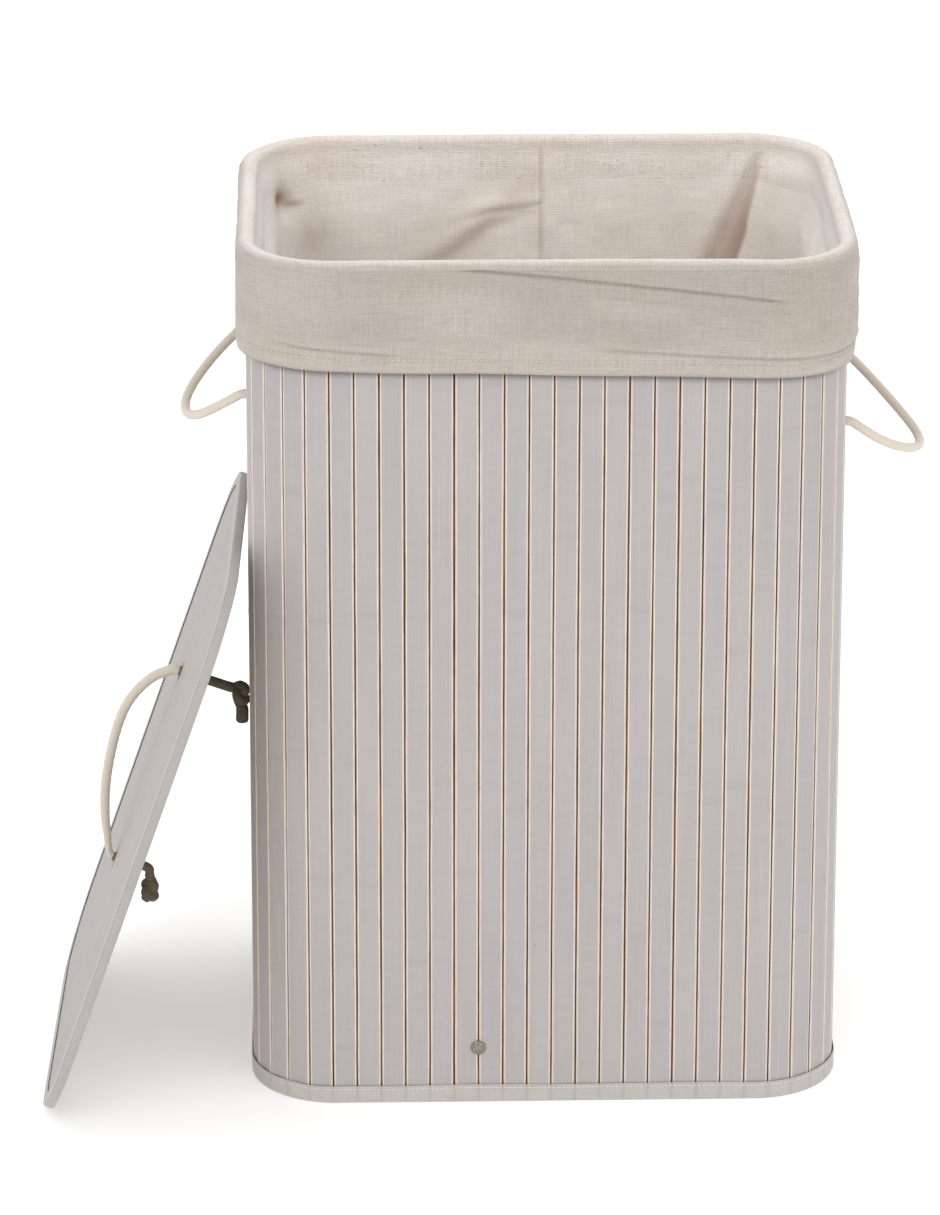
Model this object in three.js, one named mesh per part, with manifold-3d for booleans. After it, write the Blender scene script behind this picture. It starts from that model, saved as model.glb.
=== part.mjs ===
// Folding laundry hamper: a rounded rectangular wall of upright bamboo slats on a
// cloth backing, a cloth liner whose top is folded down over the rim, two cord
// carrying handles, a folding base board, and a loose slatted lid that leans
// against the left wall.
// Millimetres, +Z up, +X right, +Y to the back. Origin: centre of the base on the floor.
import * as THREE from "three";
import { mergeVertices } from "three/addons/utils/BufferGeometryUtils.js";
import Module from "manifold-3d";

const wasm = await Module();
wasm.setup();

// ---------- driving dimensions ----------
const WIDTH = 400; // outside of the slats, left to right, at the rim
const DEPTH = 300; // outside of the slats, front to back, at the rim
const HEIGHT = 600; // nominal height of the wall
const CORNER_R = 58.5; // outside corner radius of the wall
const FLARE = 0.0112; // how much wider the foot is than the rim, as a share
const WALL_Z0 = 0.8; // lower end of the slats, inside the bottom hem
const WALL_Z1 = 596; // upper end of the slats, inside the top hem
const SLAT_T = 3.2; // slat thickness
const BACKING_T = 0.8; // cloth glued behind the slats
const SLAT_COUNT = 79; // slats round the whole wall
const GROOVE = 1.0; // open gap between two slats
const GROOVE_AT = 3.07; // where one gap crosses the front, right of the centre
const SEAM = 0.15; // half the gap left between two panels' backing

const TAPE_T = 0.5; // hem tape thickness
const HEM_H = 12.5; // height of the hem tape on the wall
const CLEAR = 0.3; // running gap between touching pieces

const BOARD_T = 5.0; // base board
const BOARD_HALF = [193.5, 143.8];
const BOARD_R = 52;
const BOARD_BACK = 144.3; // back edge of the board, where it hinges

const BAG_GAP_X = 14; // liner bag inside the side walls, room for the cord knots
const BAG_GAP_Y = 8; // liner bag inside the front and back walls
const CLOTH_T = 1.2; // liner cloth as a solid

const HANDLE_D = 6.2; // side handle cord
const HANDLE_OUT = 3.9; // handle pivot line outside the wall face
const LEFT_HANDLE = { z: 491, front: -81.2, back: 66.85, tilt: 0.652 };
const RIGHT_HANDLE = { z: 472, front: -91.5, back: 89.45, tilt: 0.65 };

const RIVET_X = -46.3;
const RIVET_Z = 40.5;

const LID_L = 408; // along its slats
const LID_W = 312;
const LID_R = 60;
const LID_T = 6.8;
const LID_LEAN = 0.3352; // rad from upright
const LID_YAW = -0.0235;
const LID_Y = -46;
const LID_X = -337.6; // foot of the lid
const LID_SLAT_T = 3.0;
const LID_PITCH = 16.45;
const LID_CORD_D = 7.4;
const LID_HOLE_V = 28.2; // groove line that the lid handle passes through
const LID_HOLES_U = [133.5, 281.9]; // lower and upper slit
const LID_PIVOT = 4.2; // handle pivot line above the lid's face

// ---------- materials ----------
const mat = (color, roughness, metalness = 0) =>
  new THREE.MeshStandardMaterial({ color, roughness, metalness });
const SLAT = mat(0xc6c2c0, 0.62);
const TAPE = mat(0xc8c6c1, 0.85);
const CLOTH = mat(0xcdc6be, 0.9);
const CORD = mat(0xded6cd, 0.9);
const DARK_CORD = mat(0x4b443a, 0.9);
const BOARD = mat(0xb9a98f, 0.8);
const STEEL = mat(0x8d8a84, 0.4, 0.9);
const RIVET_METAL = mat(0x7c7768, 0.42, 0.85);
const LID_FACE = mat(0xbeb9b4, 0.62);

const group = new THREE.Group();
const root = new THREE.Group();
group.add(root);

// ---------- helpers ----------
const flareAt = (z) => 1 + FLARE * (1 - z / HEIGHT);

// Point on a rounded rectangle at arc length s from the front centre, going
// anticlockwise seen from above (front, right, back, left), and its outward normal.
function onOutline(w, d, r, s) {
  const fx = w / 2 - r,
    fy = d / 2 - r,
    arc = (Math.PI / 2) * r,
    total = 4 * fx + 4 * fy + 4 * arc;
  s = ((s % total) + total) % total;
  const runs = [
    ["l", fx, 0, -d / 2, 1, 0, 0, -1],
    ["a", arc, fx, -fy, -Math.PI / 2],
    ["l", 2 * fy, w / 2, -fy, 0, 1, 1, 0],
    ["a", arc, fx, fy, 0],
    ["l", 2 * fx, fx, d / 2, -1, 0, 0, 1],
    ["a", arc, -fx, fy, Math.PI / 2],
    ["l", 2 * fy, -w / 2, fy, 0, -1, -1, 0],
    ["a", arc, -fx, -fy, Math.PI],
    ["l", fx, -fx, -d / 2, 1, 0, 0, -1],
  ];
  for (const q of runs) {
    if (s <= q[1] + 1e-9) {
      if (q[0] === "l")
        return [q[2] + q[4] * s, q[3] + q[5] * s, q[6], q[7], false];
      const t = q[4] + s / r;
      return [
        q[2] + r * Math.cos(t),
        q[3] + r * Math.sin(t),
        Math.cos(t),
        Math.sin(t),
        true,
      ];
    }
    s -= q[1];
  }
  return [0, -d / 2, 0, -1, false];
}
const perimeter = (w, d, r) => 2 * (w + d) - 8 * r + 2 * Math.PI * r;
const pitch = perimeter(WIDTH, DEPTH, CORNER_R) / SLAT_COUNT;
const wallPoint = (s, inset) => {
  const [x, y, nx, ny] = onOutline(WIDTH, DEPTH, CORNER_R, s);
  return [x - nx * inset, y - ny * inset];
};
const grooveS = (k) => GROOVE_AT + pitch * k;

// Stations round a rounded rectangle: corner points only, with n steps a corner.
function stations(w, d, r, n) {
  const out = [];
  const fx = w / 2 - r,
    fy = d / 2 - r;
  for (const [cx, cy, t0] of [
    [fx, -fy, -Math.PI / 2],
    [fx, fy, 0],
    [-fx, fy, Math.PI / 2],
    [-fx, -fy, Math.PI],
  ])
    for (let i = 0; i <= n; i++) {
      const t = t0 + ((Math.PI / 2) * i) / n;
      out.push([cx + r * Math.cos(t), cy + r * Math.sin(t), Math.cos(t), Math.sin(t)]);
    }
  return out;
}

function bare(geometry) {
  const g = geometry.index ? geometry.toNonIndexed() : geometry.clone();
  const made = new THREE.BufferGeometry();
  made.setAttribute("position", g.getAttribute("position"));
  return mergeVertices(made, 1e-4);
}
function solid(geometry) {
  const g = bare(geometry);
  return new wasm.Manifold(
    new wasm.Mesh({
      numProp: 3,
      vertProperties: new Float32Array(g.attributes.position.array),
      triVerts: new Uint32Array(g.index.array),
    }),
  );
}
function geometryOf(s) {
  const m = s.getMesh(),
    n = m.numProp,
    v = new Float32Array(m.numVert * 3);
  for (let i = 0; i < m.numVert; i++)
    v.set(m.vertProperties.subarray(i * n, i * n + 3), i * 3);
  const g = new THREE.BufferGeometry();
  g.setAttribute("position", new THREE.BufferAttribute(v, 3));
  g.setIndex(new THREE.BufferAttribute(new Uint32Array(m.triVerts), 1));
  return g;
}
// Cuts every tool out of the body.
const cut = (body, tools) =>
  geometryOf(tools.reduce((a, t) => a.subtract(solid(t)), solid(body)));
const join = (pieces) =>
  geometryOf(pieces.slice(1).reduce((a, t) => a.add(solid(t)), solid(pieces[0])));

// Upright prism of a closed outline, following the wall's flare if asked.
function prism(points, z0, z1, flared = false) {
  const shape = new THREE.Shape(points.map(([x, y]) => new THREE.Vector2(x, y)));
  const g = new THREE.ExtrudeGeometry(shape, {
    depth: z1 - z0,
    bevelEnabled: false,
    steps: 1,
  });
  g.translate(0, 0, z0);
  return flared ? flare(g) : g;
}
function flare(g) {
  const p = g.getAttribute("position");
  for (let i = 0; i < p.count; i++) {
    const f = flareAt(p.getZ(i));
    p.setXY(i, p.getX(i) * f, p.getY(i) * f);
  }
  return g;
}
// A closed cross-section, given as [outward offset, z], carried round an outline.
function ring(profile, st) {
  const n = st.length,
    m = profile.length,
    v = [],
    f = [];
  for (const [x, y, nx, ny] of st)
    for (const [o, z] of profile) v.push(x + nx * o, y + ny * o, z);
  let area = 0;
  profile.forEach(([a, b], i) => {
    const [c, d] = profile[(i + 1) % m];
    area += a * d - c * b;
  });
  for (let i = 0; i < n; i++)
    for (let j = 0; j < m; j++) {
      const a = i * m + j,
        b = i * m + ((j + 1) % m),
        c = ((i + 1) % n) * m + ((j + 1) % m),
        d = ((i + 1) % n) * m + j;
      if (area > 0) f.push(a, c, b, a, d, c);
      else f.push(a, b, c, a, c, d);
    }
  const g = new THREE.BufferGeometry();
  g.setAttribute("position", new THREE.BufferAttribute(new Float32Array(v), 3));
  g.setIndex(f);
  return g;
}
function outlineShape(st) {
  return st.map(([x, y]) => [x, y]);
}
const v3 = (a) => new THREE.Vector3(...a);
// A round tube through the given points.
function tube(points, d, steps, sides = 10) {
  const shape = new THREE.Shape();
  for (let i = 0; i < sides; i++) {
    const t = (2 * Math.PI * i) / sides,
      x = (d / 2) * Math.cos(t),
      y = (d / 2) * Math.sin(t);
    if (i) shape.lineTo(x, y);
    else shape.moveTo(x, y);
  }
  shape.closePath();
  return new THREE.ExtrudeGeometry(shape, {
    steps,
    bevelEnabled: false,
    extrudePath: new THREE.CatmullRomCurve3(points.map(v3), false, "centripetal"),
  });
}
function between(a, b, d, sides = 12, d2 = d) {
  const A = v3(a),
    B = v3(b),
    dir = B.clone().sub(A);
  const g = new THREE.CylinderGeometry(d2 / 2, d / 2, dir.length(), sides, 1);
  g.applyQuaternion(
    new THREE.Quaternion().setFromUnitVectors(
      new THREE.Vector3(0, 1, 0),
      dir.clone().normalize(),
    ),
  );
  const mid = A.add(B).multiplyScalar(0.5);
  g.translate(mid.x, mid.y, mid.z);
  return g;
}
function blob(centre, rx, ry, rz, w = 12, h = 8) {
  const g = new THREE.SphereGeometry(1, w, h);
  g.scale(rx, ry, rz);
  g.translate(...centre);
  return g;
}
function add(name, geometry, material, parent = root) {
  const g = geometry.clone();
  const mesh = new THREE.Mesh(g, material);
  mesh.name = name;
  parent.add(mesh);
  return mesh;
}

// ---------- slat wall ----------
// One panel is a run of slats, from gap a to gap b, on its cloth backing.
function panel(a, b) {
  const outer = [],
    inner = [],
    h = GROOVE / 2;
  const depth = SLAT_T,
    total = SLAT_T + BACKING_T;
  for (let k = a; k < b; k++) {
    const s0 = grooveS(k),
      s1 = grooveS(k + 1);
    if (k === a) {
      outer.push(wallPoint(s0 + SEAM, total), wallPoint(s0 + SEAM, depth));
      inner.push(null);
    } else outer.push(wallPoint(s0 - h, depth));
    outer.push(wallPoint(s0 + h, depth));
    outer.push(wallPoint(s0 + h, 0), wallPoint(s1 - h, 0));
    if (k === b - 1)
      outer.push(
        wallPoint(s1 - h, depth),
        wallPoint(s1 - SEAM, depth),
        wallPoint(s1 - SEAM, total),
      );
  }
  const back = [];
  for (let k = b - 1; k >= a; k--) {
    const s0 = grooveS(k),
      s1 = grooveS(k + 1);
    if (onOutline(WIDTH, DEPTH, CORNER_R, (s0 + s1) / 2)[4])
      back.push(wallPoint((s0 + s1) / 2, total));
    if (k > a) back.push(wallPoint(s0, total));
  }
  return prism([...outer, ...back], WALL_Z0, WALL_Z1, true);
}
const handleHole = (sx, y, z) =>
  between([sx * 180, y, z], [sx * 215, y, z], HANDLE_D + 1.4, 14);
const PANELS = {
  front_slat_panel: [-9, 9],
  front_right_corner_slats: [9, 14],
  right_slat_panel: [14, 25],
  back_right_corner_slats: [25, 31],
  back_slat_panel: [31, 48],
  back_left_corner_slats: [48, 54],
  left_slat_panel: [54, 64],
  front_left_corner_slats: [64, 70],
};
const leftHoles = [LEFT_HANDLE.front, LEFT_HANDLE.back].map((y) =>
  handleHole(-1, y, LEFT_HANDLE.z),
);
const rightHoles = [RIGHT_HANDLE.front, RIGHT_HANDLE.back].map((y) =>
  handleHole(1, y, RIGHT_HANDLE.z),
);
const rivetY = -(DEPTH / 2) * flareAt(RIVET_Z);
const rivetX = RIVET_X * flareAt(RIVET_Z);
const CUTS = {
  front_slat_panel: [
    between([rivetX, rivetY + 15, RIVET_Z], [rivetX, rivetY - 15, RIVET_Z], 4.0, 14),
  ],
  front_right_corner_slats: [rightHoles[0]],
  right_slat_panel: rightHoles,
  back_right_corner_slats: [rightHoles[1]],
  left_slat_panel: leftHoles,
  front_left_corner_slats: [leftHoles[0]],
};
for (const [name, [a, b]] of Object.entries(PANELS))
  add(name, CUTS[name] ? cut(panel(a, b), CUTS[name]) : panel(a, b), SLAT);

// ---------- hems and rim hoop ----------
const wallSt = stations(WIDTH, DEPTH, CORNER_R, 9);
const inA = -(SLAT_T + BACKING_T + 0.6),
  inB = inA - TAPE_T,
  outA = CLEAR + 0.1,
  outB = outA + TAPE_T;
add(
  "bottom_hem_tape",
  flare(
    ring(
      [
        [outB, 0],
        [outB, HEM_H],
        [outA, HEM_H],
        [outA, TAPE_T],
        [inA, TAPE_T],
        [inA, HEM_H],
        [inB, HEM_H],
        [inB, 0],
      ],
      wallSt,
    ),
  ),
  TAPE,
);
add(
  "top_hem_tape",
  flare(
    ring(
      [
        [outB, 586],
        [outB, 600.7],
        [inB, 600.7],
        [inB, 586],
        [inA, 586],
        [inA, 600.2],
        [outA, 600.2],
        [outA, 586],
      ],
      wallSt,
    ),
  ),
  TAPE,
);
const hoop = [];
for (let i = 0; i < 8; i++) {
  const t = (2 * Math.PI * i) / 8;
  hoop.push([-2 + 1.5 * Math.cos(t), 598.1 + 1.5 * Math.sin(t)]);
}
add("rim_hoop_wire", ring(hoop, wallSt), STEEL);

// ---------- base board ----------
add(
  "base_board",
  prism(
    outlineShape(stations(2 * BOARD_HALF[0], 2 * BOARD_HALF[1], BOARD_R, 8)).map(
      ([x, y]) => [x, y + BOARD_BACK - BOARD_HALF[1]],
    ),
    0,
    BOARD_T,
  ),
  BOARD,
);
const strip = new THREE.BoxGeometry(240, 0.6, 15);
strip.translate(0, BOARD_BACK + 0.3 + 0.3, 0.8 + 7.5);
add("base_hinge_tape", strip, TAPE);

// ---------- rivet low on the front ----------
// Profile heights are measured from the slat face, positive outward.
const rivetProfile = [
  [0, -5.9],
  [3.6, -5.9],
  [3.6, -5.3],
  [1.6, -5.3],
  [1.6, 0.35],
  [5.0, 0.35],
  [5.0, 0.9],
  [4.3, 1.7],
  [2.9, 2.3],
  [1.4, 2.55],
  [0, 2.6],
].map(([r, h]) => new THREE.Vector2(r, h));
const rivet = new THREE.LatheGeometry(rivetProfile, 16);
// lathe axis is +Y: turn it to point at -Y, outward from the front
rivet.rotateX(Math.PI);
rivet.translate(rivetX, rivetY, RIVET_Z);
add("front_rivet", rivet, RIVET_METAL);
const washerProfile = [
  [1.95, -5.0],
  [4.6, -5.0],
  [4.6, -4.35],
  [1.95, -4.35],
  [1.95, -5.0],
].map(([r, h]) => new THREE.Vector2(r, h));
const washer = new THREE.LatheGeometry(washerProfile, 12);
washer.rotateX(Math.PI);
washer.translate(rivetX, rivetY, RIVET_Z);
add("front_rivet_washer", washer, RIVET_METAL);

// ---------- liner ----------
const bagW = WIDTH - 2 * BAG_GAP_X,
  bagD = DEPTH - 2 * BAG_GAP_Y,
  bagR = 46;
const bagSt = stations(bagW, bagD, bagR, 8);
const bagOuter = prism(outlineShape(bagSt), 6.6, 572);
const bagInner = prism(
  outlineShape(stations(bagW - 2 * CLOTH_T, bagD - 2 * CLOTH_T, bagR - CLOTH_T, 8)),
  6.6 + CLOTH_T,
  600,
);
add("liner_bag", cut(bagOuter, [bagInner]), CLOTH);
// Folded over the rim: inner leg, round the top, outer leg with its tucked-in edge.
add(
  "liner_cuff",
  ring(
    [
      [-8.6, 573.2],
      [-8.1, 600.2],
      [-5.0, 604.0],
      [2.2, 604.0],
      [6.2, 598],
      [7.4, 550],
      [4.4, 523],
      [3.2, 523.2],
      [6.2, 550],
      [5.0, 597.6],
      [1.6, 602.6],
      [-4.4, 602.6],
      [-6.9, 599.8],
      [-7.4, 573.2],
    ],
    stations(WIDTH, DEPTH, CORNER_R, 8),
  ),
  CLOTH,
);

// ---------- side handles ----------
// A loop is given in its own plane: y along the wall, v outward from the pivot line.
const LOOPS = {
  left: [
    [-81.2, 0], [-79.6, 6], [-76, 13], [-71.5, 21], [-66, 29], [-58, 37],
    [-45, 44], [-28, 48], [-10, 49], [8, 46.5], [24, 41], [37, 34],
    [47, 26.5], [55, 18.5], [61.5, 10], [65.5, 4.5], [66.85, 0],
  ],
  right: [
    [-91.5, 0], [-91.8, 8], [-89.5, 18], [-84.5, 27], [-77, 36], [-67, 44.5],
    [-55, 53], [-40, 61], [-22, 67.5], [-5, 69.5], [10, 67.5], [26, 60.5],
    [42, 51], [56, 41.5], [69, 31.5], [79.5, 21], [86, 11], [89.45, 0],
  ],
};
function handle(side, spec) {
  const sx = side === "left" ? -1 : 1;
  const face = (WIDTH / 2) * flareAt(spec.z); // the wall's face at that height
  const px = face + HANDLE_OUT;
  const c = Math.cos(spec.tilt),
    s = Math.sin(spec.tilt);
  const path = LOOPS[side].map(([y, v]) => [sx * (px + v * c), y, spec.z - v * s]);
  add(side + "_handle_cord", tube(path, HANDLE_D, 36, 8), CORD);
  for (const [where, y] of [
    ["front", spec.front],
    ["back", spec.back],
  ]) {
    // Through the wall, a flattened overhand knot and its short tail behind the wall.
    const kx = face - SLAT_T - BACKING_T - 0.6 - 3.9;
    const stub = between(
      [sx * (kx + 1), y, spec.z],
      [sx * (face + 0.2), y, spec.z],
      HANDLE_D,
      10,
    );
    const knot = blob([sx * kx, y, spec.z - 1], 3.9, 7.5, 7.5, 10, 6);
    const tail = tube(
      [
        [sx * kx, y, spec.z - 4],
        [sx * kx, y + 1.5, spec.z - 12],
        [sx * (kx - 0.1), y + 3, spec.z - 20],
      ],
      5.6,
      3,
      8,
    );
    add(`${side}_handle_${where}_knot`, join([knot, stub, tail]), CORD);
  }
}
handle("left", LEFT_HANDLE);
handle("right", RIGHT_HANDLE);

// ---------- lid ----------
const sa = Math.sin(LID_LEAN),
  ca = Math.cos(LID_LEAN),
  sy = Math.sin(LID_YAW),
  cy = Math.cos(LID_YAW);
const U = new THREE.Vector3(sa * cy, sa * sy, ca);
const V = new THREE.Vector3(-sy, cy, 0);
const N = new THREE.Vector3(-ca * cy, -ca * sy, sa);
const lid = new THREE.Group();
lid.matrixAutoUpdate = false;
lid.matrix.makeBasis(U, V, N).setPosition(LID_X, LID_Y, 0);
root.add(lid);
const toWorld = (u, v, n) =>
  new THREE.Vector3(LID_X, LID_Y, 0)
    .addScaledVector(U, u)
    .addScaledVector(V, v)
    .addScaledVector(N, n)
    .toArray();
const lidSt = (inset, n = 8) =>
  stations(LID_L - 2 * inset, LID_W - 2 * inset, LID_R - inset, n).map(
    ([x, y, nx, ny]) => [x + LID_L / 2, y, nx, ny],
  );
const lidHoles = LID_HOLES_U.map((u) => {
  const g = new THREE.CylinderGeometry(
    LID_CORD_D / 2 + 0.6,
    LID_CORD_D / 2 + 0.6,
    40,
    14,
  );
  g.rotateX(Math.PI / 2);
  g.translate(u, LID_HOLE_V, 0);
  return g;
});
const lidInset = 1.0;
const faceTop = LID_T - TAPE_T - CLEAR;
const grooveCuts = [];
for (let v = LID_HOLE_V - 9 * LID_PITCH; v < LID_W / 2 - 4; v += LID_PITCH) {
  if (v < -LID_W / 2 + 4) continue;
  const g = new THREE.BoxGeometry(LID_L + 20, GROOVE, LID_SLAT_T);
  g.translate(LID_L / 2, v, faceTop - LID_SLAT_T / 2 + 0.8);
  grooveCuts.push(g);
}
add(
  "lid_slat_panel",
  cut(prism(outlineShape(lidSt(lidInset)), faceTop - LID_SLAT_T, faceTop), [
    ...grooveCuts,
    ...lidHoles,
  ]),
  LID_FACE,
  lid,
);
add(
  "lid_core_board",
  cut(
    prism(outlineShape(lidSt(lidInset)), 1.5, faceTop - LID_SLAT_T - CLEAR),
    lidHoles,
  ),
  BOARD,
  lid,
);
add(
  "lid_lining",
  cut(prism(outlineShape(lidSt(lidInset)), 0.8, 1.2), lidHoles),
  CLOTH,
  lid,
);
add(
  "lid_edge_binding",
  ring(
    [
      [0, 0],
      [0, LID_T],
      [-10, LID_T],
      [-10, LID_T - TAPE_T],
      [-TAPE_T, LID_T - TAPE_T],
      [-TAPE_T, TAPE_T],
      [-10, TAPE_T],
      [-10, 0],
    ],
    lidSt(0),
  ),
  TAPE,
  lid,
);
// Lid handle: stands out from the slits in the plane across the lid.
const [uLow, uHigh] = LID_HOLES_U;
const lp = LID_T + LID_PIVOT;
const lidLoop = [
  [uHigh, lp], [uHigh - 3.3, lp + 4.2], [uHigh - 8.6, lp + 10.2], [uHigh - 16.1, lp + 15.4],
  [uHigh - 25, lp + 19.6], [uHigh - 35.6, lp + 22.6], [uHigh - 47.1, lp + 23.7],
  [uHigh - 60.5, lp + 23.4], [uHigh - 73.6, lp + 22.1], [uHigh - 87.3, lp + 20.2],
  [uHigh - 100.7, lp + 17.4], [uHigh - 111.7, lp + 14.3], [uHigh - 123.7, lp + 9.9],
  [uHigh - 134.8, lp + 5], [uHigh - 142.5, lp + 2], [uLow, lp],
].map(([u, n]) => toWorld(u, LID_HOLE_V, n));
add("lid_handle_cord", tube(lidLoop, LID_CORD_D, 28, 10), CORD);
// The two ends go straight through the lid to a knot; the upper one is long and its
// knot hangs by the basket's wall.
function lidEnd(name, u, length, drop, rx, ry, rz, tailLength, lean) {
  const inside = toWorld(u, LID_HOLE_V, -length);
  const middle = [inside[0], inside[1], inside[2] - drop];
  const parts = [
    blob(middle, rx, ry, rz, 12, 8),
    between(toWorld(u, LID_HOLE_V, LID_T + 0.1), inside, LID_CORD_D - 0.4, 10),
  ];
  if (drop > 6) {
    const bend = LID_CORD_D / 2 - 0.2;
    parts.push(blob(inside, bend, bend, bend, 12, 8));
    parts.push(between(inside, middle, LID_CORD_D - 0.4, 10, LID_CORD_D + 1.6));
  }
  if (tailLength > 0) {
    parts.push(
      between(
        [inside[0], inside[1], inside[2] - 3],
        [inside[0] + lean, inside[1] - 2, inside[2] - tailLength],
        7.0,
        10,
        8.4,
      ),
    );
  }
  add(name, join(parts), DARK_CORD);
}
lidEnd("lid_handle_upper_knot", uHigh, 38.4, 2, 5.8, 8, 8.5, 22, 0.2);
lidEnd("lid_handle_lower_knot", uLow, 19.5, 17, 6.5, 7.5, 8.8, 0, 0);

export default group;
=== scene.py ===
import math

import bpy
import numpy as np
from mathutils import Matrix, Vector


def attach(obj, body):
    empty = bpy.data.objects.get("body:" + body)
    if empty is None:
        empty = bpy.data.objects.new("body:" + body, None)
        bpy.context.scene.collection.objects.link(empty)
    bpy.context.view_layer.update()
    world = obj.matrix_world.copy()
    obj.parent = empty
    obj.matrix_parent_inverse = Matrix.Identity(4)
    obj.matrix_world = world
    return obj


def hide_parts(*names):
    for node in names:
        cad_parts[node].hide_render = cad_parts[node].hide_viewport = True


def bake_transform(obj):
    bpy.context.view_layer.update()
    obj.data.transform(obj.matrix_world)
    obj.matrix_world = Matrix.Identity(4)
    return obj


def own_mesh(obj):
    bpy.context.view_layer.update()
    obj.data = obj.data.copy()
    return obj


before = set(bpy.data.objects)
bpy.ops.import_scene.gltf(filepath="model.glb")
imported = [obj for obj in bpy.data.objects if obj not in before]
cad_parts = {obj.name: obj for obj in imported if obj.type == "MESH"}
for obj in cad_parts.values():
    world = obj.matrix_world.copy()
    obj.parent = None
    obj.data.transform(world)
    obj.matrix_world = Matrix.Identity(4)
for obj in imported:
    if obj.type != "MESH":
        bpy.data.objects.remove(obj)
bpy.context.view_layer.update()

# Slatted laundry hamper with a cloth liner, cord handles and a loose lid.
# Points are worked out in millimetres and go to Blender in metres.
SCENE = bpy.context.scene
SCENE.view_settings.view_transform = "Standard"

# ------------------------------------------------------------------ camera
cam_data = bpy.data.cameras.new("camera")
cam = bpy.data.objects.new("camera", cam_data)
SCENE.collection.objects.link(cam)
cam.location = (-0.134964, -3.487776, 1.630422)
cam.rotation_euler = (math.pi / 2 - 0.362853, 0.0, -0.0246965)
cam_data.lens = 159.096
cam_data.sensor_width = 36.0
cam_data.clip_start = 0.05
cam_data.clip_end = 50.0
SCENE.camera = cam


# ------------------------------------------------------------------ helpers
def table_noise(x, y, seed, px=0):
    """Smooth value noise from -1 to 1, repeating every px cells in x if px is set."""
    t = np.random.default_rng(seed).random((128, 128)) * 2 - 1
    x, y = np.broadcast_arrays(np.asarray(x, float), np.asarray(y, float))
    x0, y0 = np.floor(x).astype(int), np.floor(y).astype(int)
    fx, fy = x - x0, y - y0
    fx = fx**3 * (fx * (fx * 6 - 15) + 10)
    fy = fy**3 * (fy * (fy * 6 - 15) + 10)
    m = px or 128
    a, b = t[x0 % m, y0 % 128], t[(x0 + 1) % m, y0 % 128]
    c, d = t[x0 % m, (y0 + 1) % 128], t[(x0 + 1) % m, (y0 + 1) % 128]
    return (a * (1 - fx) + b * fx) * (1 - fy) + (c * (1 - fx) + d * fx) * fy


def bell(x, centre, width):
    return np.exp(-(((x - centre) / width) ** 2))


def step(x, a, b):
    t = np.clip((x - a) / (b - a), 0, 1)
    return t * t * (3 - 2 * t)


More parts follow.
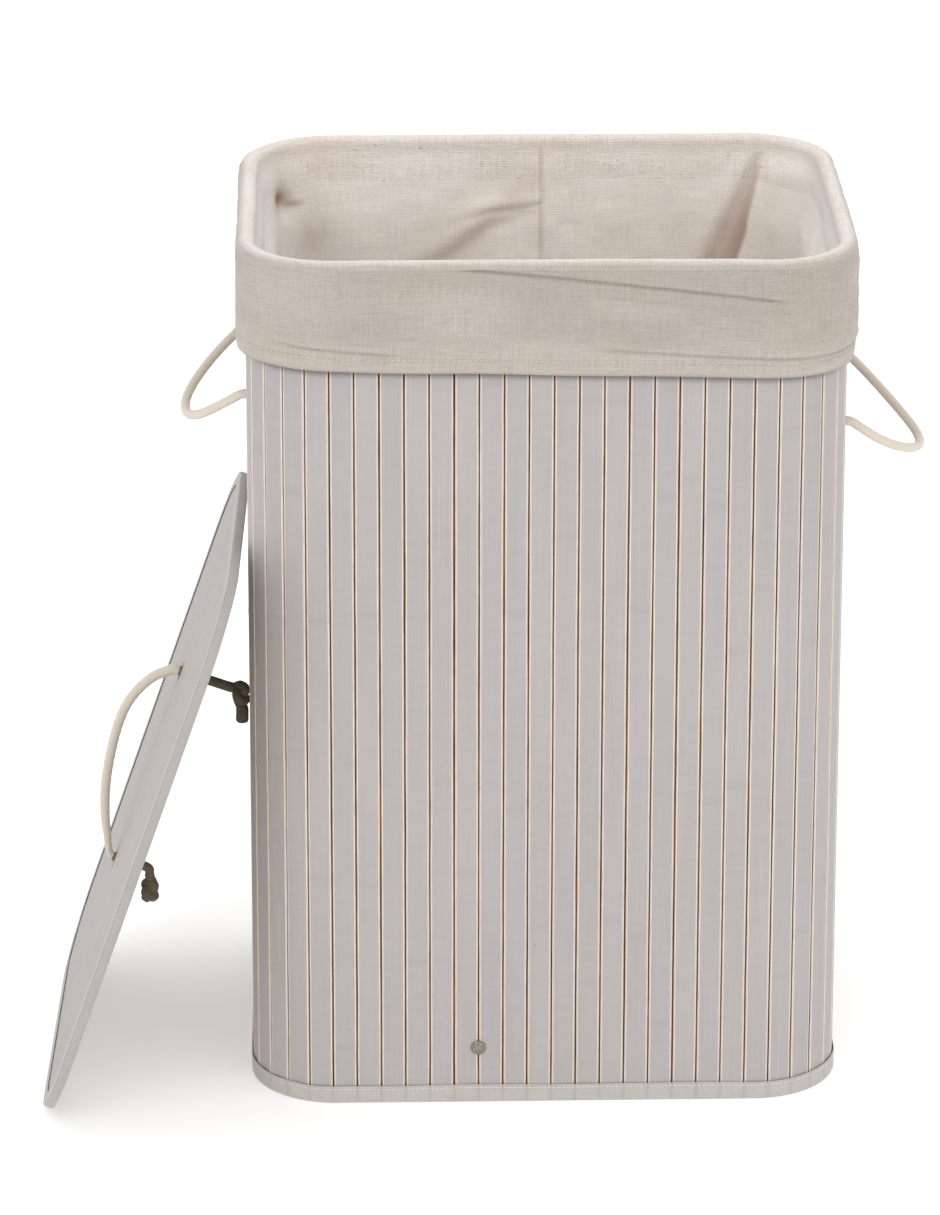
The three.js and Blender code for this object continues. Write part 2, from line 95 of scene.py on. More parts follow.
class Shape:
    """Grids of points in millimetres, gathered into one mesh."""

    def __init__(self):
        self.v, self.quads, self.tris, self.at, self.n = [], [], [], [], 0
        self.nrm = []

    def _points(self, P, attrs, normals=None):
        base = self.n
        P = np.asarray(P, float)
        count = int(np.prod(P.shape[:-1]))
        self.v.append(P.reshape(-1, 3))
        self.at.append(
            {
                k: np.broadcast_to(np.asarray(a, float), P.shape[:-1]).reshape(-1)
                for k, a in attrs.items()
            }
        )
        self.nrm.append(None if normals is None else np.asarray(normals, float).reshape(-1, 3))
        self.n += count
        return base

    def _faces(self, base, R, C, wrap, wrap_rows, U, W, m, flip):
        CC, RR = (C if wrap else C - 1), (R if wrap_rows else R - 1)
        i = np.arange(RR)[:, None] + np.zeros((1, CC), int)
        j = np.arange(CC)[None, :] + np.zeros((RR, 1), int)
        i1, j1 = (i + 1) % R, (j + 1) % C
        F = base + np.stack([i * C + j, i * C + j1, i1 * C + j1, i1 * C + j], -1)
        U = np.broadcast_to(U, (RR + 1, CC + 1))
        W = np.broadcast_to(W, (RR + 1, CC + 1))
        uv = np.stack(
            [
                np.stack([U[a, b], W[a, b]], -1)
                for a, b in ((i, j), (i, j + 1), (i + 1, j + 1), (i + 1, j))
            ],
            -2,
        )
        F, uv = F.reshape(-1, 4), uv.reshape(-1, 4, 2)
        if flip:
            F, uv = F[:, ::-1], uv[:, ::-1]
        self.quads.append((F, uv, np.full(len(F), m)))

    def grid(self, P, wrap=False, wrap_rows=False, U=None, W=None, m=0, flip=False, **attrs):
        """Rows by columns of points. Columns run anticlockwise or rightwards and rows upwards for a face that looks outwards."""
        P = np.asarray(P, float)
        R, C = P.shape[:2]
        base = self._points(P, attrs)
        CC, RR = (C if wrap else C - 1), (R if wrap_rows else R - 1)
        if U is None:
            U = np.arange(CC + 1)[None, :] * 1.0
        if W is None:
            W = np.arange(RR + 1)[:, None] * 1.0
        self._faces(base, R, C, wrap, wrap_rows, U, W, m, flip)
        return base

    def slab(self, A, B, wrap=False, U=None, W=None, m=(0, 0, 0), attrs=None, attrs_b=None, na=None, nb=None):
        """A thin closed solid between two grids: A looks outwards, B the other way."""
        A, B = np.asarray(A, float), np.asarray(B, float)
        R, C = A.shape[:2]
        a0 = self._points(A, attrs or {}, na)
        b0 = self._points(B, attrs_b if attrs_b is not None else (attrs or {}), nb)
        CC = C if wrap else C - 1
        if U is None:
            U = np.arange(CC + 1)[None, :] * 1.0
        if W is None:
            W = np.arange(R)[:, None] * 1.0
        self._faces(a0, R, C, wrap, False, U, W, m[0], False)
        self._faces(b0, R, C, wrap, False, U, W, m[1], True)
        U = np.broadcast_to(U, (R, CC + 1))
        W = np.broadcast_to(W, (R, CC + 1))
        j = np.arange(CC)
        j1 = (j + 1) % C
        for row, turn in ((0, False), (R - 1, True)):
            F = np.stack([a0 + row * C + j, b0 + row * C + j, b0 + row * C + j1, a0 + row * C + j1], -1)
            u = np.stack([U[row, j], U[row, j], U[row, j + 1], U[row, j + 1]], -1)
            w = np.stack([W[row, j], W[row, j] + 0.8, W[row, j + 1] + 0.8, W[row, j + 1]], -1)
            uv = np.stack([u, w], -1)
            if turn:
                F, uv = F[:, ::-1], uv[:, ::-1]
            self.quads.append((F, uv, np.full(len(F), m[2])))
        if not wrap:
            i = np.arange(R - 1)
            for col, turn in ((0, False), (C - 1, True)):
                F = np.stack([a0 + i * C + col, a0 + (i + 1) * C + col, b0 + (i + 1) * C + col, b0 + i * C + col], -1)
                u = np.stack([U[i, col], U[i + 1, col], U[i + 1, col] + 0.8, U[i, col] + 0.8], -1)
                w = np.stack([W[i, col], W[i + 1, col], W[i + 1, col], W[i, col]], -1)
                uv = np.stack([u, w], -1)
                if turn:
                    F, uv = F[:, ::-1], uv[:, ::-1]
                self.quads.append((F, uv, np.full(len(F), m[2])))

    def lid_on(self, first, count, centre, uv_ring, uv_centre, m=0, flip=False, **attrs):
        """Closes a ring of existing points with a fan to one new point."""
        base = self._points(np.asarray(centre, float).reshape(1, 3), {k: np.full(1, v) for k, v in attrs.items()})
        j = np.arange(count)
        j1 = (j + 1) % count
        F = np.stack([first + j, first + j1, np.full(count, base)], -1)
        uv = np.stack([uv_ring[j], uv_ring[j1], np.broadcast_to(uv_centre, (count, 2))], -2)
        if flip:
            F, uv = F[:, ::-1], uv[:, ::-1]
        self.tris.append((F, uv, np.full(count, m)))

    def make(self, name, mats, angle=None, custom=False):
        V = np.concatenate(self.v) * 0.001
        blocks = self.quads + self.tris
        me = bpy.data.meshes.new(name)
        sizes = np.concatenate([np.full(len(F), F.shape[1]) for F, _, _ in blocks])
        loops = np.concatenate([F.reshape(-1) for F, _, _ in blocks])
        uv = np.concatenate([q.reshape(-1, 2) for _, q, _ in blocks]) * 0.001
        mi = np.concatenate([m for _, _, m in blocks])
        me.vertices.add(len(V))
        me.vertices.foreach_set("co", V.astype(np.float32).ravel())
        me.loops.add(len(loops))
        me.loops.foreach_set("vertex_index", loops.astype(np.int32))
        me.polygons.add(len(sizes))
        me.polygons.foreach_set("loop_start", (np.cumsum(sizes) - sizes).astype(np.int32))
        me.polygons.foreach_set("material_index", mi.astype(np.int32))
        me.polygons.foreach_set("use_smooth", np.ones(len(sizes), bool))
        layer = me.uv_layers.new(name="UVMap")
        layer.uv.foreach_set("vector", uv.astype(np.float32).ravel())
        for key in sorted({k for a in self.at for k in a}):
            vals = np.concatenate(
                [a.get(key, np.zeros(len(v))) for a, v in zip(self.at, self.v)]
            )
            me.attributes.new(key, "FLOAT", "POINT").data.foreach_set("value", vals.astype(np.float32))
        for m in mats:
            me.materials.append(m)
        me.validate()
        me.update(calc_edges=True)
        if angle is not None:
            me.set_sharp_from_angle(angle=math.radians(angle))
        if custom:
            nn = np.concatenate(self.nrm)
            me.normals_split_custom_set_from_vertices([tuple(x) for x in nn])
        ob = bpy.data.objects.new(name, me)
        SCENE.collection.objects.link(ob)
        return ob


# The wall's outline: a rounded rectangle, by arc length from the front centre,
# anticlockwise seen from above. Other rounded rectangles follow it corner by corner.
W0, D0, R0 = 400.0, 300.0, 58.5
FX, FY, ARC = W0 / 2 - R0, D0 / 2 - R0, math.pi / 2 * R0
TOTAL = 4 * FX + 4 * FY + 4 * ARC
RUN = np.array([FX, ARC, 2 * FY, ARC, 2 * FX, ARC, 2 * FY, ARC, FX])
EDGE = np.concatenate([[0], np.cumsum(RUN)])
SLATS = 79
PITCH = TOTAL / SLATS


def groove_s(k):
    return 3.07 + PITCH * k


def around(s, w=W0, d=D0, r=R0, off=0.0):
    """(x, y, nx, ny) at arc length s of the wall's outline, carried to a w x d outline of corner radius r."""
    s = np.mod(np.asarray(s, float), TOTAL)
    k = np.clip(np.searchsorted(EDGE, s, side="right") - 1, 0, 8)
    t = (s - EDGE[k]) / RUN[k]
    fx, fy = w / 2 - r, d / 2 - r
    cx = np.choose(k, [fx * t, fx + 0 * t, fx + 0 * t, fx + 0 * t, fx - 2 * fx * t, -fx + 0 * t, -fx + 0 * t, -fx + 0 * t, -fx + fx * t])
    cy = np.choose(k, [-fy + 0 * t, -fy + 0 * t, -fy + 2 * fy * t, fy + 0 * t, fy + 0 * t, fy + 0 * t, fy - 2 * fy * t, -fy + 0 * t, -fy + 0 * t])
    start = np.array([-90, -90, 0, 0, 90, 90, 180, 180, 270.0])[k]
    turn = np.array([0, 90, 0, 90, 0, 90, 0, 90, 0.0])[k]
    th = np.radians(start + turn * t)
    nx, ny = np.cos(th), np.sin(th)
    return cx + (r + off) * nx, cy + (r + off) * ny, nx, ny


def flare(z):
    return 1 + 0.0112 * (1 - np.asarray(z, float) / 600)


def catmull(points, spacing):
    """A centripetal Catmull-Rom line through the points, resampled evenly."""
    p = np.asarray(points, float)
    p = np.vstack([2 * p[0] - p[1], p, 2 * p[-1] - p[-2]])
    out = []
    for i in range(1, len(p) - 2):
        a, b, c, d = p[i - 1], p[i], p[i + 1], p[i + 2]
        t0 = 0.0
        t1 = t0 + max(np.linalg.norm(b - a), 1e-9) ** 0.5
        t2 = t1 + max(np.linalg.norm(c - b), 1e-9) ** 0.5
        t3 = t2 + max(np.linalg.norm(d - c), 1e-9) ** 0.5
        t = np.linspace(t1, t2, 24, endpoint=False)[:, None]
        A1 = (t1 - t) / (t1 - t0) * a + (t - t0) / (t1 - t0) * b
        A2 = (t2 - t) / (t2 - t1) * b + (t - t1) / (t2 - t1) * c
        A3 = (t3 - t) / (t3 - t2) * c + (t - t2) / (t3 - t2) * d
        B1 = (t2 - t) / (t2 - t0) * A1 + (t - t0) / (t2 - t0) * A2
        B2 = (t3 - t) / (t3 - t1) * A2 + (t - t1) / (t3 - t1) * A3
        out.append((t2 - t) / (t2 - t1) * B1 + (t - t1) / (t2 - t1) * B2)
    out.append(p[-2][None, :])
    q = np.concatenate(out)
    L = np.concatenate([[0], np.cumsum(np.linalg.norm(np.diff(q, axis=0), axis=1))])
    n = max(4, int(round(L[-1] / spacing)) + 1)
    want = np.linspace(0, L[-1], n)
    return np.stack([np.interp(want, L, q[:, i]) for i in range(3)], -1), want


def sweep(path, arc, radius, sides, relief=None, squash=None):
    """Grid of points round a path, rows along it, and the cross-section frames kept from twisting."""
    path = np.asarray(path, float)
    T = np.gradient(path, axis=0)
    T /= np.linalg.norm(T, axis=1)[:, None]
    n = np.cross(T[0], [0.0, 0.0, 1.0])
    if np.linalg.norm(n) < 1e-3:
        n = np.cross(T[0], [0.0, 1.0, 0.0])
    n /= np.linalg.norm(n)
    N = [n]
    for i in range(1, len(path)):
        n = N[-1] - T[i] * (N[-1] @ T[i])
        N.append(n / np.linalg.norm(n))
    N = np.array(N)
    B = np.cross(T, N)
    th = np.arange(sides) / sides * 2 * math.pi
    r = np.broadcast_to(np.asarray(radius, float), (len(path),))[:, None] + 0 * th[None, :]
    if relief is not None:
        r = r + relief(arc[:, None], th[None, :])
    P = path[:, None, :] + r[..., None] * (
        N[:, None, :] * np.cos(th)[None, :, None] + B[:, None, :] * np.sin(th)[None, :, None]
    )
    return P, T


def braid(d, strands=8, lay=None, deep=0.035):
    """Relief of a round braided cord: two crossing sets of strands."""
    lay = lay or 3.4 * d

    def relief(a, th):
        k = strands / 2
        p = np.cos(k * th + 2 * math.pi * k * a / lay)
        q = np.cos(k * th - 2 * math.pi * k * a / lay)
        return d * deep * (np.maximum(p, q) * 0.8 - 0.35)

    return relief


def add_tube(shape, path, arc, radius, sides, relief=None, m=0, round_end=0.8, ends=(True, True), **attrs):
    """A closed tube: its two ends are rounded over and shut."""
    P, T = sweep(path, arc, radius, sides, relief)
    rad = np.broadcast_to(np.asarray(radius, float), (len(path),))
    rows, at = [P], [arc]
    for end in (0, -1):
        c, r, t = path[end], rad[end], T[end] * (-1 if end == 0 else 1)
        extra, places = [], []
        for a in (0.35, 0.7, 0.93):
            extra.append(c + (P[end] - c) * math.sqrt(1 - a * a) + t * r * a * round_end)
            places.append(arc[end] + (-1 if end == 0 else 1) * r * a)
        if end == 0:
            rows.insert(0, np.array(extra[::-1]))
            at.insert(0, np.array(places[::-1]))
        else:
            rows.append(np.array(extra))
            at.append(np.array(places))
    G = np.concatenate(rows)
    A = np.concatenate(at)
    C = sides
    U = np.arange(C + 1)[None, :] / C * 2 * math.pi * float(np.mean(rad))
    base = shape.grid(G, wrap=True, U=U, W=A[:, None], m=m, flip=False, **attrs)
    ring = np.stack([np.broadcast_to(U[0], (C + 1,)), np.full(C + 1, A[0])], -1)
    c0 = path[0] - T[0] * rad[0] * round_end
    c1 = path[-1] + T[-1] * rad[-1] * round_end
    shape.lid_on(base, C, c0, ring, np.array([0.0, A[0]]), m=m, flip=True, **attrs)
    ring = np.stack([np.broadcast_to(U[0], (C + 1,)), np.full(C + 1, A[-1])], -1)
    shape.lid_on(base + (len(G) - 1) * C, C, c1, ring, np.array([0.0, A[-1]]), m=m, flip=False, **attrs)


def lin(r, g, b):
    def f(c):
        c /= 255.0
        return c / 12.92 if c <= 0.04045 else ((c + 0.055) / 1.055) ** 2.4

    return (f(r), f(g), f(b), 1.0)


class Mat:
    """A node material, written short."""

    def __init__(self, name, rough=0.6, spec=0.5, metal=0.0, sheen=0.0, sheen_rough=0.5):
        self.m = bpy.data.materials.new(name)
        self.m.use_nodes = True
        self.t = self.m.node_tree
        self.t.nodes.clear()
        self.out = self.t.nodes.new("ShaderNodeOutputMaterial")
        self.b = self.t.nodes.new("ShaderNodeBsdfPrincipled")
        self.t.links.new(self.b.outputs["BSDF"], self.out.inputs["Surface"])
        self.b.inputs["Roughness"].default_value = rough
        self.b.inputs["Specular IOR Level"].default_value = spec
        self.b.inputs["Metallic"].default_value = metal
        if sheen:
            self.b.inputs["Sheen Weight"].default_value = sheen
            self.b.inputs["Sheen Roughness"].default_value = sheen_rough
        self._uv = None
        self._obj = None

    def node(self, kind, ins=None, out=0, **props):
        n = self.t.nodes.new(kind)
        for k, v in props.items():
            setattr(n, k, v)
        for k, v in (ins or {}).items():
            s = n.inputs[k]
            if isinstance(v, bpy.types.NodeSocket):
                self.t.links.new(v, s)
            else:
                s.default_value = v
        return n.outputs[out]

    def set(self, key, v):
        s = self.b.inputs[key]
        if isinstance(v, bpy.types.NodeSocket):
            self.t.links.new(v, s)
        else:
            s.default_value = v

    def uv(self, sx=1.0, sy=1.0, ox=0.0):
        """UV in metres, scaled to cells: sx and sy are cells a metre."""
        if self._uv is None:
            self._uv = self.node("ShaderNodeUVMap", uv_map="UVMap")
        return self.node("ShaderNodeVectorMath", {0: self._uv, 1: (sx, sy, 1.0)}, operation="MULTIPLY")

    def place(self, sx=1.0, sy=1.0, sz=1.0):
        """Object coordinates, scaled."""
        if self._obj is None:
            self._obj = self.node("ShaderNodeTexCoord", out=3)
        return self.node("ShaderNodeVectorMath", {0: self._obj, 1: (sx, sy, sz)}, operation="MULTIPLY")

    def attr(self, name):
        return self.node("ShaderNodeAttribute", attribute_name=name, attribute_type="GEOMETRY", out=2)

    def add_z(self, vec, z):
        c = self.node("ShaderNodeCombineXYZ", {"Z": z})
        return self.node("ShaderNodeVectorMath", {0: vec, 1: c}, operation="ADD")

    def noise(self, vec, scale=1.0, detail=2.0, rough=0.5, distortion=0.0):
        return self.node(
            "ShaderNodeTexNoise",
            {"Vector": vec, "Scale": scale, "Detail": detail, "Roughness": rough, "Distortion": distortion},
        )

    def math(self, op, a, b=0.0, c=None, clamp=False):
        ins = {0: a, 1: b}
        if c is not None:
            ins[2] = c
        return self.node("ShaderNodeMath", ins, operation=op, use_clamp=clamp)

    def span(self, v, a, b, c=0.0, d=1.0, smooth=False):
        return self.node(
            "ShaderNodeMapRange",
            {"Value": v, "From Min": a, "From Max": b, "To Min": c, "To Max": d},
            interpolation_type="SMOOTHSTEP" if smooth else "LINEAR",
            clamp=True,
        )

    def mix(self, fac, a, b, blend="MIX"):
        n = self.t.nodes.new("ShaderNodeMix")
        n.data_type = "RGBA"
        n.blend_type = blend
        for i, v in ((0, fac), (6, a), (7, b)):
            if isinstance(v, bpy.types.NodeSocket):
                self.t.links.new(v, n.inputs[i])
            else:
                n.inputs[i].default_value = v
        return n.outputs[2]

    def shade(self, col, factor):
        """col times a number from a socket."""
        g = self.node("ShaderNodeCombineColor", {0: factor, 1: factor, 2: factor})
        return self.mix(1.0, col, g, "MULTIPLY")

    def bump(self, height, strength=0.4, distance=0.0005, normal=None):
        ins = {"Height": height, "Strength": strength, "Distance": distance}
        if normal is not None:
            ins["Normal"] = normal
        return self.node("ShaderNodeBump", ins)

    def wave(self, vec, axis="X", kind="SIN", scale=1.0):
        return self.node(
            "ShaderNodeTexWave",
            {"Vector": vec, "Scale": scale},
            wave_type="BANDS",
            bands_direction=axis,
            wave_profile=kind,
            out=1,
        )


# ------------------------------------------------------------------ materials
def bamboo(name, a, b, c, raw, groove, painted_cuff_shadow=False, grain_k=1.0):
    """Painted bamboo: tint a slat, fine grain along it, raw chamfers, brown down the gap."""
    m = Mat(name, spec=0.35)
    tint, tint2 = m.attr("tint"), m.attr("tint2")
    col = m.mix(m.span(tint, -1, 1), a, b)
    col = m.mix(m.span(tint2, -0.2, 1.0, 0, 0.6), col, c)
    far = m.math("MULTIPLY", tint, 41.7)
    grain = m.noise(m.add_z(m.uv(1300, 9), far), 1.0, 5.0, 0.62, 0.15)
    fine = m.noise(m.add_z(m.uv(3200, 26), far), 1.0, 3.0, 0.6)
    mott = m.noise(m.add_z(m.uv(46, 150), far), 1.0, 4.0, 0.6, 0.6)
    cloud = m.noise(m.add_z(m.uv(28, 7), far), 1.0, 3.0, 0.5)
    f = m.math("ADD", m.span(grain, 0.28, 0.72, 1 - 0.045 * grain_k, 1 + 0.035 * grain_k), m.span(mott, 0.3, 0.72, -0.022, 0.022))
    f = m.math("ADD", f, m.span(cloud, 0.3, 0.7, -0.03, 0.03))
    f = m.math("ADD", f, m.span(fine, 0.3, 0.7, -0.018 * grain_k, 0.018 * grain_k))
    f = m.math("SUBTRACT", f, m.math("MULTIPLY", m.attr("knot"), 0.05))
    col = m.shade(col, f)
    # paint worn thin in long streaks, the bamboo showing warm beneath
    worn = m.span(m.noise(m.add_z(m.uv(420, 5.5), far), 1.0, 4.0, 0.65, 0.3), 0.63, 0.78, 0, 0.35, True)
    col = m.mix(worn, col, raw)
    edge = m.attr("edge")
    rough_edge = m.noise(m.uv(900, 70), 1.0, 3.0, 0.6)
    e = m.math("MULTIPLY", edge, m.span(rough_edge, 0.25, 0.62, 0.45, 1.0), clamp=True)
    col = m.mix(e, col, raw)
    dirt = m.noise(m.uv(300, 13), 1.0, 4.0, 0.7)
    deep = m.mix(m.span(dirt, 0.35, 0.65), groove[0], groove[1])
    col = m.mix(m.attr("deep"), col, deep)
    speck = m.span(m.noise(m.add_z(m.uv(380, 260), far), 1.0, 2.0, 0.5), 0.765, 0.80, 0, 0.5, True)
    col = m.mix(speck, col, groove[0])
    if painted_cuff_shadow:
        # a painted shadow: a dark line on the slats close under the cuff's edge
        xyz = m.t.nodes.new("ShaderNodeSeparateXYZ")
        m.t.links.new(m.place(1, 1, 1), xyz.inputs[0])
        gap = m.math("ADD", xyz.outputs[2], m.math("MULTIPLY", xyz.outputs[0], 0.0232))
        rise = m.span(gap, 0.5200, 0.5258, 0.0, 1.0, True)
        fall = m.span(gap, 0.5266, 0.5285, 1.0, 0.0, True)
        col = m.shade(col, m.math("SUBTRACT", 1.0, m.math("MULTIPLY", m.math("MULTIPLY", rise, fall), 0.5)))
    m.set("Base Color", col)
    m.set("Roughness", m.span(grain, 0.3, 0.7, 0.5, 0.62))
    h = m.math("ADD", m.math("MULTIPLY", grain, 0.6), m.math("MULTIPLY", fine, 0.3))
    h = m.math("ADD", h, m.math("MULTIPLY", mott, 0.35))
    m.set("Normal", m.bump(h, 0.30 * grain_k, 0.00035))
    return m.m


def linen(name, base, warm, speckle=1.0, pitch=0.85, sheen=0.25, weave=1.0, grit=0.0, inside=None):
    """Plain weave of uneven yarn: thick places, slubs and a soft change of tone."""
    m = Mat(name, rough=0.92, spec=0.18, sheen=sheen, sheen_rough=0.55)
    cells = 1000.0 / pitch
    wob = m.noise(m.uv(35, 35), 1.0, 2.0)
    warp = m.noise(m.uv(cells * 1.0, 42), 1.0, 3.0, 0.6)
    weft = m.noise(m.uv(36, cells * 1.05), 1.0, 3.0, 0.6)
    ua = m.wave(m.uv(cells / 2, 1), "X", "SIN", 1.0 / 3.14159265 * 1.0)
    va = m.wave(m.uv(1, cells / 2), "Y", "SIN", 1.0 / 3.14159265 * 1.0)
    over = m.math("MULTIPLY", ua, va)
    tone = m.noise(m.uv(14, 18), 1.0, 3.0, 0.55)
    cloud = m.noise(m.uv(120, 150), 1.0, 4.0, 0.65)
    f = m.math("ADD", m.span(warp, 0.28, 0.72, 1 - 0.055 * weave, 1 + 0.045 * weave), m.span(weft, 0.28, 0.72, -0.055 * weave, 0.055 * weave))
    f = m.math("ADD", f, m.span(cloud, 0.3, 0.7, -0.025, 0.025))
    f = m.math("ADD", f, m.math("MULTIPLY", over, 0.05 * weave))
    col = m.mix(m.span(tone, 0.35, 0.65), base, warm)
    # cloth inside the bag takes the lighter inside tone: painted light against the shade in the bag
    if inside:
        col = m.mix(m.attr("outside"), m.mix(m.span(tone, 0.35, 0.65), inside[0], inside[1]), col)
    col = m.shade(col, f)
    slub = m.span(m.noise(m.uv(190, cells * 1.1), 1.0, 2.0, 0.5), 0.66, 0.75, 0, 0.55 * speckle, True)
    slub2 = m.span(m.noise(m.uv(cells * 1.1, 170), 1.0, 2.0, 0.5), 0.69, 0.78, 0, 0.4 * speckle, True)
    light = (min(1, base[0] * 1.25), min(1, base[1] * 1.25), min(1, base[2] * 1.25), 1)
    col = m.mix(m.math("MAXIMUM", slub, slub2), col, light)
    dark = m.span(m.noise(m.uv(210, cells * 0.9), 1.0, 2.0, 0.5), 0.68, 0.78, 0, 0.28 * speckle, True)
    col = m.mix(dark, col, (base[0] * 0.6, base[1] * 0.55, base[2] * 0.5, 1))
    gritn = m.noise(m.uv(760, 820), 1.0, 3.0, 0.75)
    col = m.shade(col, m.span(gritn, 0.3, 0.7, 1 - 0.12 * grit, 1 + 0.12 * grit))
    nub = m.span(m.noise(m.uv(300, 460), 1.0, 2.0, 0.5), 0.70, 0.77, 0, 0.45 * speckle, True)
    bright = (min(1, base[0] * 1.7), min(1, base[1] * 1.7), min(1, base[2] * 1.7), 1)
    col = m.mix(m.math("MULTIPLY", nub, 0.8, clamp=True), col, bright)
    # painted light on the side walls, as if lit through from outside; painted shade down in the folds, along the seam
    # and in the cuff's creases, brown inside and grey-brown outside
    col = m.mix(m.attr("pale"), col, lin(240, 235, 230))
    col = m.mix(m.attr("dusk"), col, m.mix(m.attr("outside"), lin(142, 88, 56), lin(112, 98, 87)))
    m.set("Base Color", col)
    h = m.math("ADD", m.math("MULTIPLY", warp, 0.5), m.math("MULTIPLY", weft, 0.5))
    h = m.math("ADD", h, m.math("MULTIPLY", over, 0.45))
    h = m.math("ADD", h, m.math("MULTIPLY", m.math("MAXIMUM", slub, slub2), 0.8))
    h = m.math("ADD", h, m.math("MULTIPLY", gritn, 0.9 * grit))
    h = m.math("ADD", h, m.math("MULTIPLY", nub, 1.2))
    h = m.math("ADD", h, m.math("MULTIPLY", cloud, 0.6))
    m.set("Normal", m.bump(h, 0.55 + 0.25 * grit, 0.0006))
    m.set("Roughness", m.span(wob, 0.3, 0.7, 0.88, 0.97))
    return m.m


def tape(name, base, ribs=0.9):
    """Woven binding tape: close ribs across it and a soft fuzz."""
    m = Mat(name, rough=0.88, spec=0.2, sheen=0.2)
    cells = 1000.0 / ribs
    rib = m.wave(m.uv(cells / 2, 1), "X", "SIN", 1.0 / 3.14159265)
    yarn = m.noise(m.uv(cells, 260), 1.0, 3.0, 0.6)
    long = m.noise(m.uv(60, cells), 1.0, 3.0, 0.6)
    tone = m.noise(m.uv(22, 60), 1.0, 3.0, 0.6)
    f = m.math("ADD", m.span(yarn, 0.28, 0.72, 0.95, 1.05), m.span(long, 0.3, 0.7, -0.035, 0.035))
    f = m.math("ADD", f, m.span(tone, 0.3, 0.7, -0.035, 0.035))
    # painted shade: darker where the tape dips into the slat gaps (knot), and in the stitch groove, along the tape's
    # edges and over its back (line)
    f = m.math("SUBTRACT", f, m.math("MULTIPLY", m.attr("knot"), 0.12))
    f = m.math("SUBTRACT", f, m.math("MULTIPLY", m.attr("line"), 0.34))
    col = m.shade(base, f)
    m.set("Base Color", col)
    h = m.math("ADD", m.math("MULTIPLY", rib, 0.5), m.math("MULTIPLY", yarn, 0.6))
    h = m.math("ADD", h, m.math("MULTIPLY", long, 0.4))
    m.set("Normal", m.bump(h, 0.45, 0.0005))
    return m.m


def rope(name, base, dark, fuzz=0.35):
    """Braided cotton cord: yarn lines across each strand and patches of a darker tone."""
    m = Mat(name, rough=0.9, spec=0.18, sheen=fuzz, sheen_rough=0.5)
    yarn = m.noise(m.uv(900, 420), 1.0, 4.0, 0.65, 0.8)
    tone = m.noise(m.uv(45, 55), 1.0, 3.0, 0.6)
    fuzzn = m.noise(m.place(2600, 2600, 2600), 1.0, 2.0, 0.6)
    f = m.math("ADD", m.span(yarn, 0.3, 0.7, 0.93, 1.05), m.span(tone, 0.3, 0.7, -0.05, 0.04))
    f = m.math("ADD", f, m.span(fuzzn, 0.3, 0.7, -0.03, 0.03))
    col = m.mix(m.span(tone, 0.42, 0.72, 0, 0.4), base, dark)
    m.set("Base Color", m.shade(col, f))
    h = m.math("ADD", m.math("MULTIPLY", yarn, 0.7), m.math("MULTIPLY", fuzzn, 0.4))
    m.set("Normal", m.bump(h, 0.5, 0.0006))
    return m.m


def board(name, a, b):
    """Pressed fibreboard: short fibres and flecks."""
    m = Mat(name, rough=0.85, spec=0.25)
    fleck = m.noise(m.place(900, 520, 900), 1.0, 5.0, 0.7, 1.2)
    tone = m.noise(m.place(22, 22, 22), 1.0, 3.0, 0.6)
    col = m.mix(m.span(fleck, 0.32, 0.68), a, b)
    m.set("Base Color", m.shade(col, m.span(tone, 0.3, 0.7, 0.93, 1.05)))
    m.set("Roughness", m.span(fleck, 0.3, 0.7, 0.78, 0.92))
    m.set("Normal", m.bump(fleck, 0.35, 0.0004))
    return m.m


def metal(name, a, b, rough0, rough1):
    """Plain metal with tarnish and fine scratches."""
    m = Mat(name, metal=1.0, spec=0.5)
    patch = m.noise(m.place(420, 420, 420), 1.0, 5.0, 0.65, 0.5)
    scratch = m.noise(m.place(2500, 180, 2500), 1.0, 3.0, 0.6)
    m.set("Base Color", m.mix(m.span(patch, 0.35, 0.66), a, b))
    m.set("Roughness", m.math("ADD", m.span(patch, 0.3, 0.7, rough0, rough1), m.span(scratch, 0.3, 0.7, -0.05, 0.05)))
    m.set("Normal", m.bump(scratch, 0.25, 0.00012))
    return m.m


def backing(name, a, b):
    m = Mat(name, rough=0.95, spec=0.1)
    n = m.noise(m.uv(300, 16), 1.0, 4.0, 0.7)
    t = m.noise(m.uv(1100, 1100), 1.0, 2.0, 0.6)
    m.set("Base Color", m.shade(m.mix(m.span(n, 0.35, 0.66), a, b), m.span(t, 0.3, 0.7, 0.85, 1.12)))
    m.set("Normal", m.bump(t, 0.5, 0.0005))
    return m.m


GROOVE_COL = (lin(110, 92, 80), lin(162, 134, 110))
SLAT_A, SLAT_B, SLAT_C = lin(175, 171, 170), lin(177, 171, 172), lin(179, 173, 170)
# the last True paints the cuff's shadow line onto the slats
M_SLAT = bamboo("painted_bamboo", SLAT_A, SLAT_B, SLAT_C, lin(226, 213, 200), GROOVE_COL, True)
M_LIDSLAT = bamboo("painted_bamboo_lid", lin(175, 171, 168), lin(178, 172, 170), lin(179, 173, 169), lin(166, 158, 152), (lin(84, 72, 64), lin(116, 102, 92)), grain_k=0.3)
M_BACKING = backing("backing_cloth", lin(86, 64, 50), lin(170, 124, 88))
M_BACKIN = linen("backing_cloth_inside", lin(196, 184, 168), lin(188, 172, 154), 0.6)
M_TAPE = tape("hem_tape", lin(188, 183, 179))
M_LIDTAPE = tape("lid_binding_tape", lin(182, 177, 173))
M_THREAD = rope("sewing_thread", lin(230, 222, 212), lin(212, 202, 190), 0.2)
